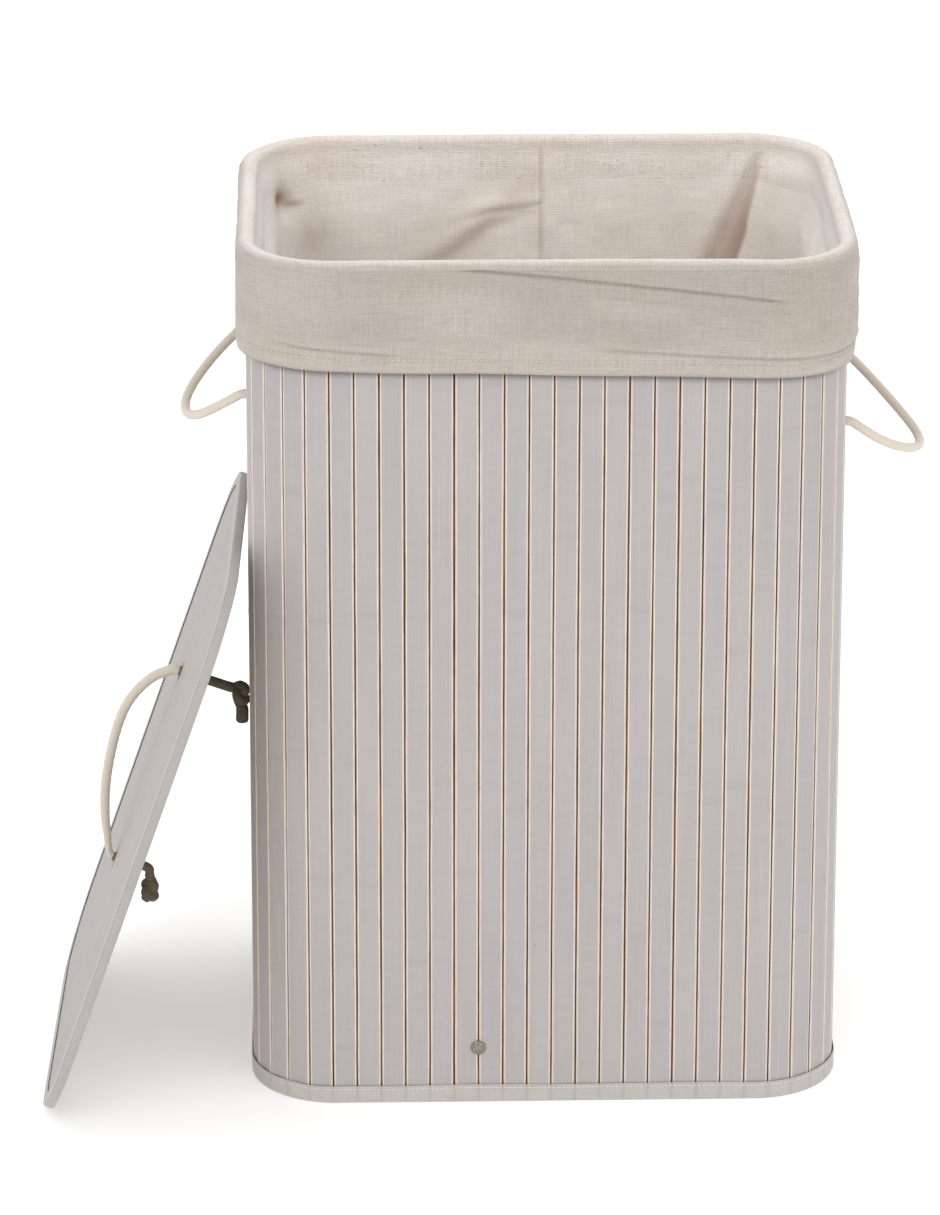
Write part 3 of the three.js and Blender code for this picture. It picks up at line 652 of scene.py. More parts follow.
# IN_A, IN_B: the inside of the liner is the same face of the cloth as the cuff's outside; its lighter tone is painted
# light against the shade in the bag
IN_A, IN_B = lin(239, 233, 227), lin(237, 228, 218)
M_CUFF = linen("liner_cloth_outside", lin(187, 178, 171), lin(187, 177, 167), 2.2, weave=1.9, grit=1.0, inside=(IN_A, IN_B))
M_BAG = linen("liner_cloth_inside", IN_A, IN_B, 0.9, weave=1.3, grit=0.6)
M_BAGOUT = linen("liner_cloth_bag_outside", lin(196, 187, 178), lin(194, 183, 172), 1.0, weave=1.6, grit=0.8)
M_CORD = rope("cotton_cord", lin(220, 210, 197), lin(206, 193, 174))
# the knots inside the lid are the same cotton cord, made dark for the shade they sit in: painted shade
M_CORD_PAINTED_SHADE = rope("cord_painted_shade", lin(124, 113, 97), lin(90, 80, 66), 0.2)
M_BOARD = board("fibre_board", lin(196, 180, 152), lin(160, 140, 112))
M_STEEL = metal("steel_wire", lin(150, 148, 142), lin(120, 116, 108), 0.35, 0.55)
M_RIVET = metal("rivet_metal", lin(158, 153, 138), lin(118, 112, 97), 0.28, 0.45)
M_LINING = linen("lid_lining_cloth", lin(206, 198, 186), lin(198, 188, 174), 0.7)

# ------------------------------------------------------------------ cords
HANDLES = {
    "left": dict(sx=-1, z=491.0, front=-81.2, back=66.85, tilt=0.652, loop=[(-81.2, 0), (-79.6, 6), (-76, 13), (-71.5, 21), (-66, 29), (-58, 37), (-45, 44), (-28, 48), (-10, 49), (8, 46.5), (24, 41), (37, 34), (47, 26.5), (55, 18.5), (61.5, 10), (65.5, 4.5), (66.85, 0)]),
    "right": dict(sx=1, z=472.0, front=-91.5, back=89.45, tilt=0.65, loop=[(-91.5, 0), (-91.8, 8), (-89.5, 18), (-84.5, 27), (-77, 36), (-67, 44.5), (-55, 53), (-40, 61), (-22, 67.5), (-5, 69.5), (10, 67.5), (26, 60.5), (42, 51), (56, 41.5), (69, 31.5), (79.5, 21), (86, 11), (89.45, 0)]),
}
HANDLE_D = 6.2
for side, h in HANDLES.items():
    sx = h["sx"]
    face = 200.0 * float(flare(h["z"]))
    h["face"] = face
    px = face + 3.9
    c, s_ = math.cos(h["tilt"]), math.sin(h["tilt"])
    route = [(sx * (face - 3.4), h["front"], h["z"]), (sx * (face - 0.4), h["front"], h["z"])]
    route += [(sx * (px + v * c), y, h["z"] - v * s_) for y, v in h["loop"][0:1]]
    route[-1] = (sx * (px - 0.6), h["front"] + 0.1, h["z"] - 0.5)
    route += [(sx * (px + v * c), y, h["z"] - v * s_) for y, v in h["loop"][1:-1]]
    route += [(sx * (px - 0.6), h["back"] - 0.1, h["z"] - 0.5)]
    route += [(sx * (face - 0.4), h["back"], h["z"]), (sx * (face - 3.4), h["back"], h["z"])]
    path, arc = catmull(route, 0.9)
    sh = Shape()
    add_tube(sh, path, arc, HANDLE_D / 2, 24, braid(HANDLE_D, 8, 22, 0.022))
    ob = sh.make(side + "_carry_cord", [M_CORD])
    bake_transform(ob)
    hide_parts(side + "_handle_cord")

# Lid frame: u up along the lid, v across it, n out of its face.
LID_L, LID_W, LID_R, LID_T = 408.0, 312.0, 60.0, 6.8
LEAN, YAW = 0.3352, -0.0235
LU = np.array([math.sin(LEAN) * math.cos(YAW), math.sin(LEAN) * math.sin(YAW), math.cos(LEAN)])
LV = np.array([-math.sin(YAW), math.cos(YAW), 0.0])
LN = np.array([-math.cos(LEAN) * math.cos(YAW), -math.cos(LEAN) * math.sin(YAW), math.sin(LEAN)])
LO = np.array([-337.6, -46.0, 0.0])
LID_D = 7.4
HOLE_V, HOLE_U = 28.2, (133.5, 281.9)


def lid_point(u, v, n):
    u, v, n = np.broadcast_arrays(np.asarray(u, float), np.asarray(v, float), np.asarray(n, float))
    return LO + u[..., None] * LU + v[..., None] * LV + n[..., None] * LN


lp = 11.0
uH, uL = HOLE_U[1], HOLE_U[0]
loop = [(uH + 0.3, 7.6), (uH, lp), (uH - 3.3, lp + 4.2), (uH - 8.6, lp + 10.2), (uH - 16.1, lp + 15.4), (uH - 25, lp + 19.6), (uH - 35.6, lp + 22.6), (uH - 47.1, lp + 23.7), (uH - 60.5, lp + 23.4), (uH - 73.6, lp + 22.1), (uH - 87.3, lp + 20.2), (uH - 100.7, lp + 17.4), (uH - 111.7, lp + 14.3), (uH - 123.7, lp + 9.9), (uH - 134.8, lp + 5), (uL + 5.6, lp + 1.7), (uL + 1.2, lp - 1.2), (uL + 0.4, 7.6)]
path, arc = catmull([lid_point(u, HOLE_V, n) for u, n in loop], 0.9)
sh = Shape()
q = arc / arc[-1]
add_tube(sh, path, arc, LID_D * 0.465 * (1.0 - 0.30 * step(q, 0.72, 1.0) + 0.04 * bell(q, 0.05, 0.06)), 24, braid(LID_D, 8, 25, 0.02), round_end=0.3)
lid_cord = sh.make("lid_carry_cord", [M_CORD])
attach(lid_cord, "lid_handle")
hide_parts("lid_handle_cord")
tuple(lid_point(uH, HOLE_V, LID_T) / 1000)


def trefoil(t, size, thick):
    """An overhand knot's turns, flat in (b, c) and thick along a."""
    return np.stack([-thick * np.sin(3 * t), size / 3 * (np.sin(t) + 2 * np.sin(2 * t)), size / 3 * (np.cos(t) - 2 * np.cos(2 * t))], -1)


def knot(name, entry, centre, size, thick, d_in, d_knot, tail, tail_d, mat, body, node, a_axis=(1, 0, 0)):
    """Straight strand from entry, an overhand knot flat across a_axis, and a tail of one piece."""
    a = np.array(a_axis, float)
    a /= np.linalg.norm(a)
    b = np.cross([0.0, 0.0, 1.0], a)
    b /= np.linalg.norm(b)
    c = np.cross(a, b)
    t = np.linspace(math.radians(78), math.radians(402), 40)
    k = trefoil(t, size, thick)
    turn = math.radians(-60)
    kb, kc = k[:, 1] * math.cos(turn) - k[:, 2] * math.sin(turn), k[:, 1] * math.sin(turn) + k[:, 2] * math.cos(turn)
    pts = centre + k[:, :1] * a + kb[:, None] * b + kc[:, None] * c
    entry = [np.array(p, float) for p in entry]
    tail = [np.array(p, float) for p in tail]
    first = [e for e in entry]
    allp = first + [p for p in pts[2:-2]] + tail
    path, arc = catmull(allp, 0.7)
    # which part is in the knot decides the thickness there
    d = np.linalg.norm(path - centre, axis=1)
    w = step(d, size * 1.15, size * 1.7)
    start_len = np.cumsum([0] + [np.linalg.norm(entry[i + 1] - entry[i]) for i in range(len(entry) - 1)])[-1]
    r = d_knot / 2 * (1 - w) + np.where(arc < max(start_len, 2) + 6, d_in, tail_d) / 2 * w
    r = np.convolve(np.pad(r, 6, mode="edge"), np.ones(13) / 13, mode="valid")
    s = Shape()
    add_tube(s, path, arc, r, 18, braid(d_in, 8, 3.2 * d_in, 0.03), round_end=0.45)
    o = s.make(name, [mat])
    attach(o, body)
    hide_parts(node)
    return o


for side, h in HANDLES.items():
    sx = h["sx"]
    for where in ("front", "back"):
        y = h[where]
        kx = h["face"] - 3.2 - 0.8 - 0.6 - 4.1
        ctr = np.array([sx * kx, y, h["z"] - 1.0])
        knot(
            f"{side}_cord_{where}_knot",
            [(sx * (h["face"] - 3.3), y, h["z"]), (sx * (h["face"] - 4.6), y, h["z"] + 0.2)],
            ctr, 5.3, 1.75, 5.6, 4.3,
            [(sx * kx, y + 1.5, h["z"] - 12), (sx * (kx - 0.1), y + 2.8, h["z"] - 19.0)],
            5.2, M_CORD, "basket", f"{side}_handle_{where}_knot",
        )

inside = lid_point(uH, HOLE_V, -38.4)
knot(
    "lid_cord_upper_knot",
    [lid_point(uH, HOLE_V, 6.9), lid_point(uH, HOLE_V, 0.0), lid_point(uH, HOLE_V, -18.0), lid_point(uH, HOLE_V, -29.5)],
    inside + np.array([-0.3, 0, -2.0]), 5.6, 2.7, 7.0, 7.2,
    [inside + np.array([0.1, -0.8, -12.0]), inside + np.array([0.2, -2.0, -21.4])],
    8.8, M_CORD_PAINTED_SHADE, "lid", "lid_handle_upper_knot",
)
inside = lid_point(uL, HOLE_V, -19.5)
knot(
    "lid_cord_lower_knot",
    [lid_point(uL, HOLE_V, 6.9), lid_point(uL, HOLE_V, 0.0), lid_point(uL, HOLE_V, -12.0), inside + np.array([-0.6, 0, -0.6]), inside + np.array([0.1, 0, -6.5])],
    inside + np.array([0, 0, -17.0]), 5.4, 2.8, 6.6, 7.2,
    [inside + np.array([-1.5, -0.5, -20.5]), inside + np.array([-3.4, -1.0, -23.6])],
    6.2, M_CORD_PAINTED_SHADE, "lid", "lid_handle_lower_knot",
)

# ------------------------------------------------------------------ slat wall
SLAT_T = 1.9  # the visible part of a slat above its brown glue line
HOLES = {14: 472.0, 25: 472.0, 55: 491.0, 64: 491.0}  # groove number: height of the cord slit


def z_rows(extra):
    z = list(np.linspace(0.9, 595.9, 60))
    for a in extra:
        z += list(a + np.array([-8, -6.4, -6, -5, -3.5, -1.8, 0, 1.8, 3.5, 5, 6, 6.4, 8, 9.6, 11, 12, 12.8, 14]))
    z = np.unique(np.round([q for q in z if 0.9 <= q <= 595.9], 3))
    keep = [z[0]]
    for q in z[1:]:
        if q - keep[-1] > 0.3:
            keep.append(q)
    return np.array(keep)


def slit(z, zh):
    up = zh + 3.4 if zh == 472.0 else zh
    half = 9.4 if zh == 472.0 else 6.2
    return 3.3 * np.sqrt(np.clip(1 - ((z - up) / half) ** 2, 0, 1))


def profile(w):
    """(across, out, edge, deep) round one slat, from its left foot over the face to its right foot and back."""
    left = [(0.0, -SLAT_T, 0.6, 1.0), (0.0, -0.95, 0.8, 0.95), (0.03, -0.62, 1.0, 0.15), (0.30, -0.30, 1.0, 0.0), (0.75, -0.10, 1.0, 0.0), (1.05, -0.035, 0.85, 0.0), (1.3, 0.0, 0.0, 0.0)]
    mid = [(w * f, 0.07 * math.sin(math.pi * f), 0.0, 0.0) for f in (0.25, 0.5, 0.75)]
    right = [(w - a, b, e, g) for a, b, e, g in left[::-1]]
    under = [(w * 0.66, -SLAT_T, 0.0, 1.0), (w * 0.33, -SLAT_T, 0.0, 1.0)]
    return np.array(left + mid + right + under)


def one_slat(shape, k, rng):
    kk = k % SLATS
    g0, g1 = kk, (kk + 1) % SLATS
    nodes = [z for z in (rng.uniform(40, 250), rng.uniform(330, 560)) if rng.random() < 0.75]
    extra = [HOLES[g] for g in (g0, g1) if g in HOLES] + nodes
    z = z_rows(extra)
    s0 = groove_s(k) + 0.52 + rng.uniform(-0.12, 0.12)
    s1 = groove_s(k + 1) - 0.52 + rng.uniform(-0.12, 0.12)
    e0 = 0.14 * table_noise(z / 42, kk + 0.5, 311) + 0.07 * table_noise(z / 11, kk + 0.5, 312)
    e1 = 0.14 * table_noise(z / 42, kk + 0.5, 313) + 0.07 * table_noise(z / 11, kk + 0.5, 314)
    if g0 in HOLES:
        e0 = e0 + slit(z, HOLES[g0])
    if g1 in HOLES:
        e1 = e1 - slit(z, HOLES[g1])
    ax, ay, _, _ = around(s0)
    bx, by, _, _ = around(s1)
    A, B = np.array([ax, ay]), np.array([bx, by])
    w = float(np.linalg.norm(B - A))
    t = (B - A) / w
    n = np.array([t[1], -t[0]])
    tilt = rng.uniform(-0.006, 0.006)
    out = rng.uniform(-0.10, 0.06)
    prof = profile(w)
    a = np.broadcast_to(prof[:, 0], (len(z), len(prof))).copy()
    # the edges waver: shift points by how near they are to each edge
    f = a / w
    a = a + e0[:, None] * (1 - f) ** 2 + e1[:, None] * f**2
    o = prof[:, 1][None, :] + out + tilt * (a - w / 2) * np.where(prof[:, 1] > -SLAT_T + 0.01, 1, 0)
    knotv = np.zeros(len(z))
    for q in nodes:
        bumpv = bell(z, q, 1.6) - 0.7 * bell(z, q - 3.4, 1.6)
        o = o + (0.13 * bumpv)[:, None] * np.where(prof[:, 1] > -0.4, 1, 0)
        knotv = np.maximum(knotv, bell(z, q, 2.6))
    fl = flare(z)[:, None]
    X = (A[0] + t[0] * a + n[0] * o) * fl
    Y = (A[1] + t[1] * a + n[1] * o) * fl
    P = np.stack([X, Y, np.broadcast_to(z[:, None], X.shape)], -1)
    C = len(prof)
    U = np.broadcast_to(np.append(prof[:, 0], prof[0, 0])[None, :] + kk * 20.0, (len(z), C + 1))
    W = np.broadcast_to(z[:, None], (len(z), C + 1))
    tint, tint2 = rng.uniform(-1, 1), rng.uniform(-1, 1)
    at = dict(tint=tint, tint2=tint2, edge=np.broadcast_to(prof[:, 2], X.shape), deep=np.broadcast_to(prof[:, 3], X.shape), knot=np.broadcast_to(knotv[:, None], X.shape))
    base = shape.grid(P, wrap=True, U=U, W=W, m=0, **at)
    ring = np.stack([U[0], W[0]], -1)
    mid = P[0].mean(0)
    shape.lid_on(base, C, mid, ring, ring[:-1].mean(0), m=0, flip=True, tint=tint, tint2=tint2, deep=0.3)
    ring = np.stack([U[-1], W[-1]], -1)
    shape.lid_on(base + (len(z) - 1) * C, C, P[-1].mean(0), ring, ring[:-1].mean(0), m=0, tint=tint, tint2=tint2, deep=0.3)


PANELS = {
    "front_slat_panel": (-9, 9),
    "front_right_corner_slats": (9, 14),
    "right_slat_panel": (14, 25),
    "back_right_corner_slats": (25, 31),
    "back_slat_panel": (31, 48),
    "back_left_corner_slats": (48, 54),
    "left_slat_panel": (54, 64),
    "front_left_corner_slats": (64, 70),
}
for node, (k0, k1) in PANELS.items():
    sh = Shape()
    for k in range(k0, k1):
        one_slat(sh, k, np.random.default_rng(5000 + k % SLATS))
    # the backing cloth behind the slats, brown with glue where the gaps show it
    s = np.linspace(groove_s(k0) + 0.12, groove_s(k1) - 0.12, (k1 - k0) * 5 + 1)
    z = np.linspace(0.9, 595.9, 16)
    fl = flare(z)[:, None]
    grids = []
    for off in (-SLAT_T - 0.02, -3.95):
        x, y, nx, ny = around(s, off=off)
        chord = 0.0
        grids.append(np.stack([x[None, :] * fl, y[None, :] * fl, np.broadcast_to(z[:, None], (len(z), len(s)))], -1))
    sh.slab(grids[0], grids[1], U=s[None, :], W=z[:, None], m=(1, 2, 1))
    ob = sh.make(node.replace("_panel", "").replace("_slats", "") + "_slat_run", [M_SLAT, M_BACKING, M_BACKIN], angle=48)
    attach(ob, "basket")
    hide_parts(node)


# ------------------------------------------------------------------ hems
def stitches(name, points, ups, outs, length, radius, mat, body):
    """A row of thread stitches: points, their direction along the seam, and the way out."""
    sh = Shape()
    a = np.array([-1.0, -0.8, -0.35, 0.35, 0.8, 1.0])
    r = np.array([0.25, 0.75, 1.0, 1.0, 0.75, 0.25])
    th = np.arange(6) / 6 * 2 * math.pi
    lift = radius * (1 - 1.1 * np.abs(a) ** 3)
    for i, (p, t, o) in enumerate(zip(points, ups, outs)):
        b = np.cross(t, o)
        P = p + (a * length / 2)[:, None, None] * t + (lift[:, None] * 0.6)[:, :, None] * o
        P = P + radius * r[:, None, None] * (np.cos(th)[None, :, None] * o + np.sin(th)[None, :, None] * b)
        U = np.arange(7)[None, :] * radius + i * 3.0
        base = sh.grid(P, wrap=True, U=U, W=(a * length / 2)[:, None])
        ring = np.zeros((7, 2))
        sh.lid_on(base, 6, P[0].mean(0), ring, np.zeros(2), flip=True)
        sh.lid_on(base + 5 * 6, 6, P[-1].mean(0), ring, np.zeros(2))
    ob = sh.make(name, [mat])
    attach(ob, body)
    return ob


HEM_COLS = 1560
hs = np.arange(HEM_COLS) / HEM_COLS * TOTAL
near = np.abs((hs - 3.07) / PITCH - np.round((hs - 3.07) / PITCH)) * PITCH
dent = bell(near, 0, 1.1)


def hem(name, node, prof, top_rows, shift, seed, body="basket"):
    """A tape folded round the ends of the slats. top_rows are the profile rows that follow the wavering edge."""
    prof = np.array(prof, float)
    x, y, nx, ny = around(hs)
    wave_ = 0.42 * table_noise(hs / TOTAL * 26, 0.3, seed, 26) + 0.22 * table_noise(hs / TOTAL * 96, 0.6, seed + 1, 96)
    o = prof[:, 0][:, None] + 0 * hs[None, :]
    z = prof[:, 1][:, None] + 0 * hs[None, :]
    z = z + np.where(np.isin(np.arange(len(prof)), top_rows), 1.0, 0.0)[:, None] * (wave_ * shift)[None, :]
    outer = (prof[:, 0] > 0.3).astype(float)[:, None]
    o = o - outer * 0.16 * dent[None, :] + outer * 0.10 * table_noise(hs[None, :] / TOTAL * 60, prof[:, 1][:, None] / 7 + 3, seed + 2, 60)
    # flat slats under it at the corners draw the tape in a little between the gaps
    fl = flare(z)
    P = np.stack([(x + nx * o) * fl, (y + ny * o) * fl, z], -1)
    L = np.concatenate([[0], np.cumsum(np.hypot(*np.diff(np.vstack([prof, prof[:1]]), axis=0).T))])
    sh = Shape()
    # knot here marks where the tape dips into a slat gap; the tape material darkens it there as painted shade
    sh.grid(P, wrap=True, wrap_rows=True, U=np.append(hs, TOTAL)[None, :], W=L[:, None], knot=outer * dent[None, :])
    ob = sh.make(name, [M_TAPE], angle=50)
    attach(ob, body)
    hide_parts(node)
    return wave_


low = [(0.62, 0.0), (0.86, 0.12), (0.9, 0.5), (0.9, 3.0), (0.84, 6.0), (0.88, 9.4), (0.80, 10.4), (0.9, 11.6), (0.88, 12.2), (0.70, 12.5), (0.44, 12.3), (0.40, 9.0), (0.40, 0.6), (-1.5, 0.5), (-4.55, 0.55), (-4.62, 9.0), (-4.66, 12.3), (-4.85, 12.5), (-5.06, 12.3), (-5.1, 9.0), (-5.1, 0.4), (-4.9, 0.0)]
bottom_wave = hem("bottom_hem_binding", "bottom_hem_tape", low, [7, 8, 9, 10, 16, 17, 18], 1.0, 71)
top = [(0.44, 586.3), (0.70, 586.0), (0.88, 586.4), (0.9, 590.0), (0.88, 596.0), (0.9, 600.2), (0.7, 600.6), (0.3, 600.7), (-4.6, 600.7), (-5.0, 600.5), (-5.1, 600.1), (-5.1, 590.0), (-5.06, 586.3), (-4.85, 586.0), (-4.66, 586.3), (-4.6, 590.0), (-4.6, 600.15), (-2.0, 600.22), (0.38, 600.15), (0.40, 596.0)]
top_wave = hem("top_hem_binding", "top_hem_tape", top, [0, 1, 2, 12, 13, 14], 0.8, 91)

for nm, zc, wv, tag in (("bottom_hem_stitching", 10.35, bottom_wave, 1), ("top_hem_stitching", 588.3, top_wave, 2)):
    n = int(TOTAL / 3.3)
    ss = (np.arange(n) + 0.5) / n * TOTAL
    x, y, nx, ny = around(ss, off=0.86)
    zz = zc + 0.75 * np.interp(ss, hs, wv) * (1 if tag == 1 else -1)
    fl = flare(zz)
    pts = np.stack([x * fl, y * fl, zz], -1)
    dirs = np.stack([-ny, nx, 0 * nx], -1)
    outs = np.stack([nx, ny, 0 * nx], -1)
    stitches(nm, pts, dirs, outs, 2.8, 0.36, M_THREAD, "basket")

# ------------------------------------------------------------------ rivet
rz = 40.5
rf = float(flare(rz))
rc = np.array([-46.3 * rf, -150.0 * rf, rz])
rp = [(0.35, -5.88), (2.4, -5.9), (3.5, -5.85), (3.6, -5.6), (3.5, -5.32), (1.7, -5.3), (1.6, -5.2), (1.6, 0.3), (1.7, 0.36), (4.85, 0.36), (5.0, 0.5), (5.0, 0.8), (4.86, 1.05), (4.3, 1.55), (3.5, 2.0), (2.6, 2.32), (1.6, 2.52), (0.8, 2.58), (0.25, 2.6)]
th = np.arange(56) / 56 * 2 * math.pi
rr, hh = np.array(rp).T
P = np.stack([rc[0] + rr[:, None] * np.cos(th), rc[1] - hh[:, None] + 0 * th, rc[2] + rr[:, None] * np.sin(th)], -1)
sh = Shape()
base = sh.grid(P, wrap=True, flip=False)
sh.lid_on(base, 56, rc + [0, 5.88, 0], np.zeros((57, 2)), np.zeros(2), flip=True)
sh.lid_on(base + (len(rp) - 1) * 56, 56, rc + [0, -2.6, 0], np.zeros((57, 2)), np.zeros(2))
ob = sh.make("rivet_domed", [M_RIVET], angle=40)
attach(ob, "basket")
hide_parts("front_rivet")

# ------------------------------------------------------------------ liner
# One cloth: bag bottom, up the inside, over the rim and down outside to its hem.
NS = 660
ls = np.arange(NS) / NS * TOTAL
LSX = ls[None, :]
lx0, ly0, lnx, lny = around(ls)


def cuff_edge(x, y):
    """Height of the cuff's lower edge: it hangs a little lower on the right."""
    return 526.3 - 0.0232 * x + 0.9 * table_noise((x + 400) / 60, (y + 300) / 60, 17)


rows = []  # (w, d, r, offset, z, length along the cloth)
# wall of the bag, from just above its bottom up to the split
bag_z = np.concatenate([np.linspace(16, 470, 84), np.linspace(472.2, 572.6, 47)])
cuff_in = np.array([573.0, 576, 579, 582, 585, 588, 591, 594, 596.5])
n_cuff_out = 74


def bag_displacement(s, x, y, z):
    """How far the hanging cloth stands in from its plain outline, in mm, positive into the bag."""
    u = s / TOTAL
    d = 1.7 * table_noise(u * 18, z / 70, 21, 18) + 0.8 * table_noise(u * 44, z / 26, 22, 44) + 0.28 * table_noise(u * 120, z / 9, 23, 120)
    d = d + 1.2 * table_noise(u * 26 + z / 260, z / 150, 24, 26) + 1.3
    d = d * step(z, 8, 60) * (1 - 0.45 * step(z, 560, 600))
    back = (y > 60) & (np.abs(x) < 190)
    # sewn seam up the back
    dx = x - 6.0
    seam = np.where(back, -0.9 * bell(dx, 0, 1.0) + 0.55 * bell(dx, -2.8, 2.2) + 0.35 * bell(dx, 3.2, 2.2), 0)
    seam = seam * step(z, 10, 20) * (1 - step(z, 597, 603) * 0.4)
    d = d + seam
    # soft fold that runs up to the right and meets the seam
    line = np.interp(x, [-110, -66, -45, -29, -8, 6], [498, 517, 531, 541, 549, 553])
    side = z - line
    fade = step(x, -118, -70) * (1 - step(x, -14, 6)) * np.where(back, 1, 0)
    d = d + fade * (1.5 * bell(side, 10, 11) - 1.5 * bell(side, -2, 7) - 0.5 * bell(side, -16, 10))
    line2 = np.interp(x, [-48, -30, -12, 4], [562, 565.5, 568.0, 569.5]) - 14
    d = d + np.where(back, 1, 0) * step(x, -56, -36) * (1 - step(x, 2, 6)) * (1.2 * bell(z - line2, 4, 4) - 1.1 * bell(z - line2, -1.5, 2.4))
    # brown hollow low on the left of the back
    d = d + np.where(back, 1, 0) * (-2.0 * bell(x, -156, 16) * bell(z, 522, 16) + 2.4 * bell(x, -132, 16) * bell(z, 540, 26))
    # fold pocket in the back left corner
    cl = EDGE[6]
    d = d - 6.0 * bell(s, cl - 42, 9) * bell(z, 562, 10) + 4.2 * bell(s, cl - 10, 26) * bell(z, 566, 34) + 2.6 * bell(s, cl - 62, 12) * bell(z, 574, 16)
    # the left side stands in where the cord knots push it
    d = d + 3.6 * bell(s, EDGE[6] + 95, 62) * bell(z, 560, 60)
    # the back right corner is cut across by the cloth, with a sharp crease at its left
    sc = 649.8 - (160 - (588 - z) * 0.41)
    end = 424.0
    q = np.clip((sc - s) / (sc - end), 0, 1)
    depth = step(z, 430, 520) * (1 - 0.75 * step(z, 585, 603))
    d = d + depth * 8.0 * np.sin(math.pi * q) ** 0.75 * np.where((s < sc) & (s > end), 1, 0)
    d = d - depth * 1.5 * bell(s, sc + 3.0, 5.5) + depth * 1.2 * bell(s, sc + 13, 8)
    return d


def fold_painted_shade(x, y, z):
    """How much painted shade, a soft brown, is put in the folds inside: the corner crease, the long fold, the pocket,
    the seam.
    """
    z = z + 0 * x
    v = 0 * x
    xr = np.interp(z, [400, 519, 536, 558, 587, 598], [88.0, 145.2, 153.4, 156.5, 160.1, 162])
    xl = np.interp(z, [400, 519, 544, 562, 582, 598], [60.0, 114.6, 128.2, 141.4, 155, 160.6])
    tone = np.interp(z, [380, 470, 540, 565, 590, 601], [0.1, 0.6, 0.62, 0.5, 0.2, 0.0])
    v = np.maximum(v, tone * step(x, xl - 8, xr - 1) * (1 - step(x, xr - 0.5, xr + 4.5)))
    dz = z - np.interp(x, [-110, -59.5, -38.4, -20.8, -10.3, 2.3], [488, 521.5, 541.2, 559.4, 568.0, 573.0])
    v = np.maximum(v, 0.20 * bell(dz, -2, 10) * step(x, -105, -60) * (1 - step(x, -2, 6)))
    dz = z - np.interp(x, [-64.4, -41.2, -22.2, 2.4], [543.6, 547.1, 552.1, 550.4])
    v = np.maximum(v, 0.20 * bell(dz, 0, 2.2) * step(x, -78, -45) * (1 - step(x, 3, 6)))
    v = np.maximum(v, 0.85 * bell(x, -187, 7) * bell(z, 565, 7))
    v = np.maximum(v, 0.6 * bell(x, -179, 9) * bell(z, 560.5, 2.6))
    v = np.maximum(v, 0.20 * bell(x, -164, 15) * bell(z, 530, 17))
    v = np.maximum(v, 0.30 * bell(x, 4.5, 1.3) * np.clip((604 - z) / 3, 0, 1))
    v = np.maximum(v, 0.14 * bell(x, -150, 22) * bell(z, 585, 6))
    return np.where(y > 60, v, 0.0)


def side_pale(x):
    """The side walls of the bag, lit through the gaps from outside, look paler and greyer."""
    return 0.75 * step(np.abs(x), 182, 198)


def blend_outline(z):
    """0 where the cloth follows the bag's outline, 1 where it follows the wall's."""
    return step(z, 540, 578)


# bag: bottom rings then wall rows
B_W, B_D, B_R = 372.0, 284.0, 46.0
bag_rows = []
P_rows, U_rows, W_len = [], [], []
for lam in np.concatenate([np.linspace(0.04, 0.9, 20), [0.94, 0.965]]):
    x, y, nx, ny = around(ls, B_W - 3, B_D - 3, B_R - 1.5)
    z = 8.2 + 0.7 * table_noise(x * lam / 45 + 9, y * lam / 45 + 9, 41) + 0.35 * table_noise(x * lam / 16 + 20, y * lam / 16 + 20, 42)
    P_rows.append(np.stack([x * lam, y * lam, z], -1))
for a in np.linspace(0, math.pi / 2, 6)[1:]:
    off = -1.5 - 8.0 + 8.0 * math.sin(a)
    x, y, nx, ny = around(ls, B_W, B_D, B_R, off)
    z = 16.0 - 7.8 * math.cos(a)
    P_rows.append(np.stack([x, y, np.full(NS, z)], -1))
for zz in bag_z[1:]:
    k = blend_outline(zz)
    xa, ya, nxa, nya = around(ls, B_W, B_D, B_R, -1.5)
    xb, yb, _, _ = around(ls, off=-7.3)
    d = bag_displacement(ls, lx0, ly0, np.full(NS, zz))
    x = xa * (1 - k) + xb * k - nxa * d
    y = ya * (1 - k) + yb * k - nya * d
    P_rows.append(np.stack([x, y, np.full(NS, zz)], -1))
n_bag = len(P_rows)


def rim_drop(s, x):
    """The rim dips towards the front right and waves a little elsewhere."""
    front = 1.0 - step(ly0, -148, -30)
    d = front * (0.7 * step(x, 20, 110) + 1.0 * step(x, 110, 165))
    return d + 0.5 * (1 + table_noise(s / TOTAL * 14, 0.5, 61, 14)) * 0.55


drop = rim_drop(ls, lx0)
for zz in cuff_in:
    d = bag_displacement(ls, lx0, ly0, np.full(NS, zz))
    off = -7.3 + 0.9 * step(zz, 585, 597) - 0 * d
    x, y, nx, ny = around(ls, off=off)
    d = d * (1 - 0.65 * step(zz, 578, 598))
    P_rows.append(np.stack([x - nx * d, y - ny * d, np.full(NS, zz) - drop * step(zz, 573, 600)], -1))
# over the rim
d_top = bag_displacement(ls, lx0, ly0, np.full(NS, 598.0)) * 0.35
roll = 0.35 * table_noise(ls / TOTAL * 70, 0.2, 62, 70)
for o, z in [(-6.2, 599.6), (-5.4, 601.6), (-4.2, 603.0), (-2.4, 603.8), (-0.2, 604.0), (1.8, 603.6), (3.4, 602.6), (4.5, 601.2), (5.3, 599.4)]:
    k = max(0.0, (-o) / 6.2)
    x, y, nx, ny = around(ls, off=o - d_top * k + roll * 0.6)
    P_rows.append(np.stack([x, y, z - drop + roll * 0.3 * (1 - abs(o) / 7)], -1))
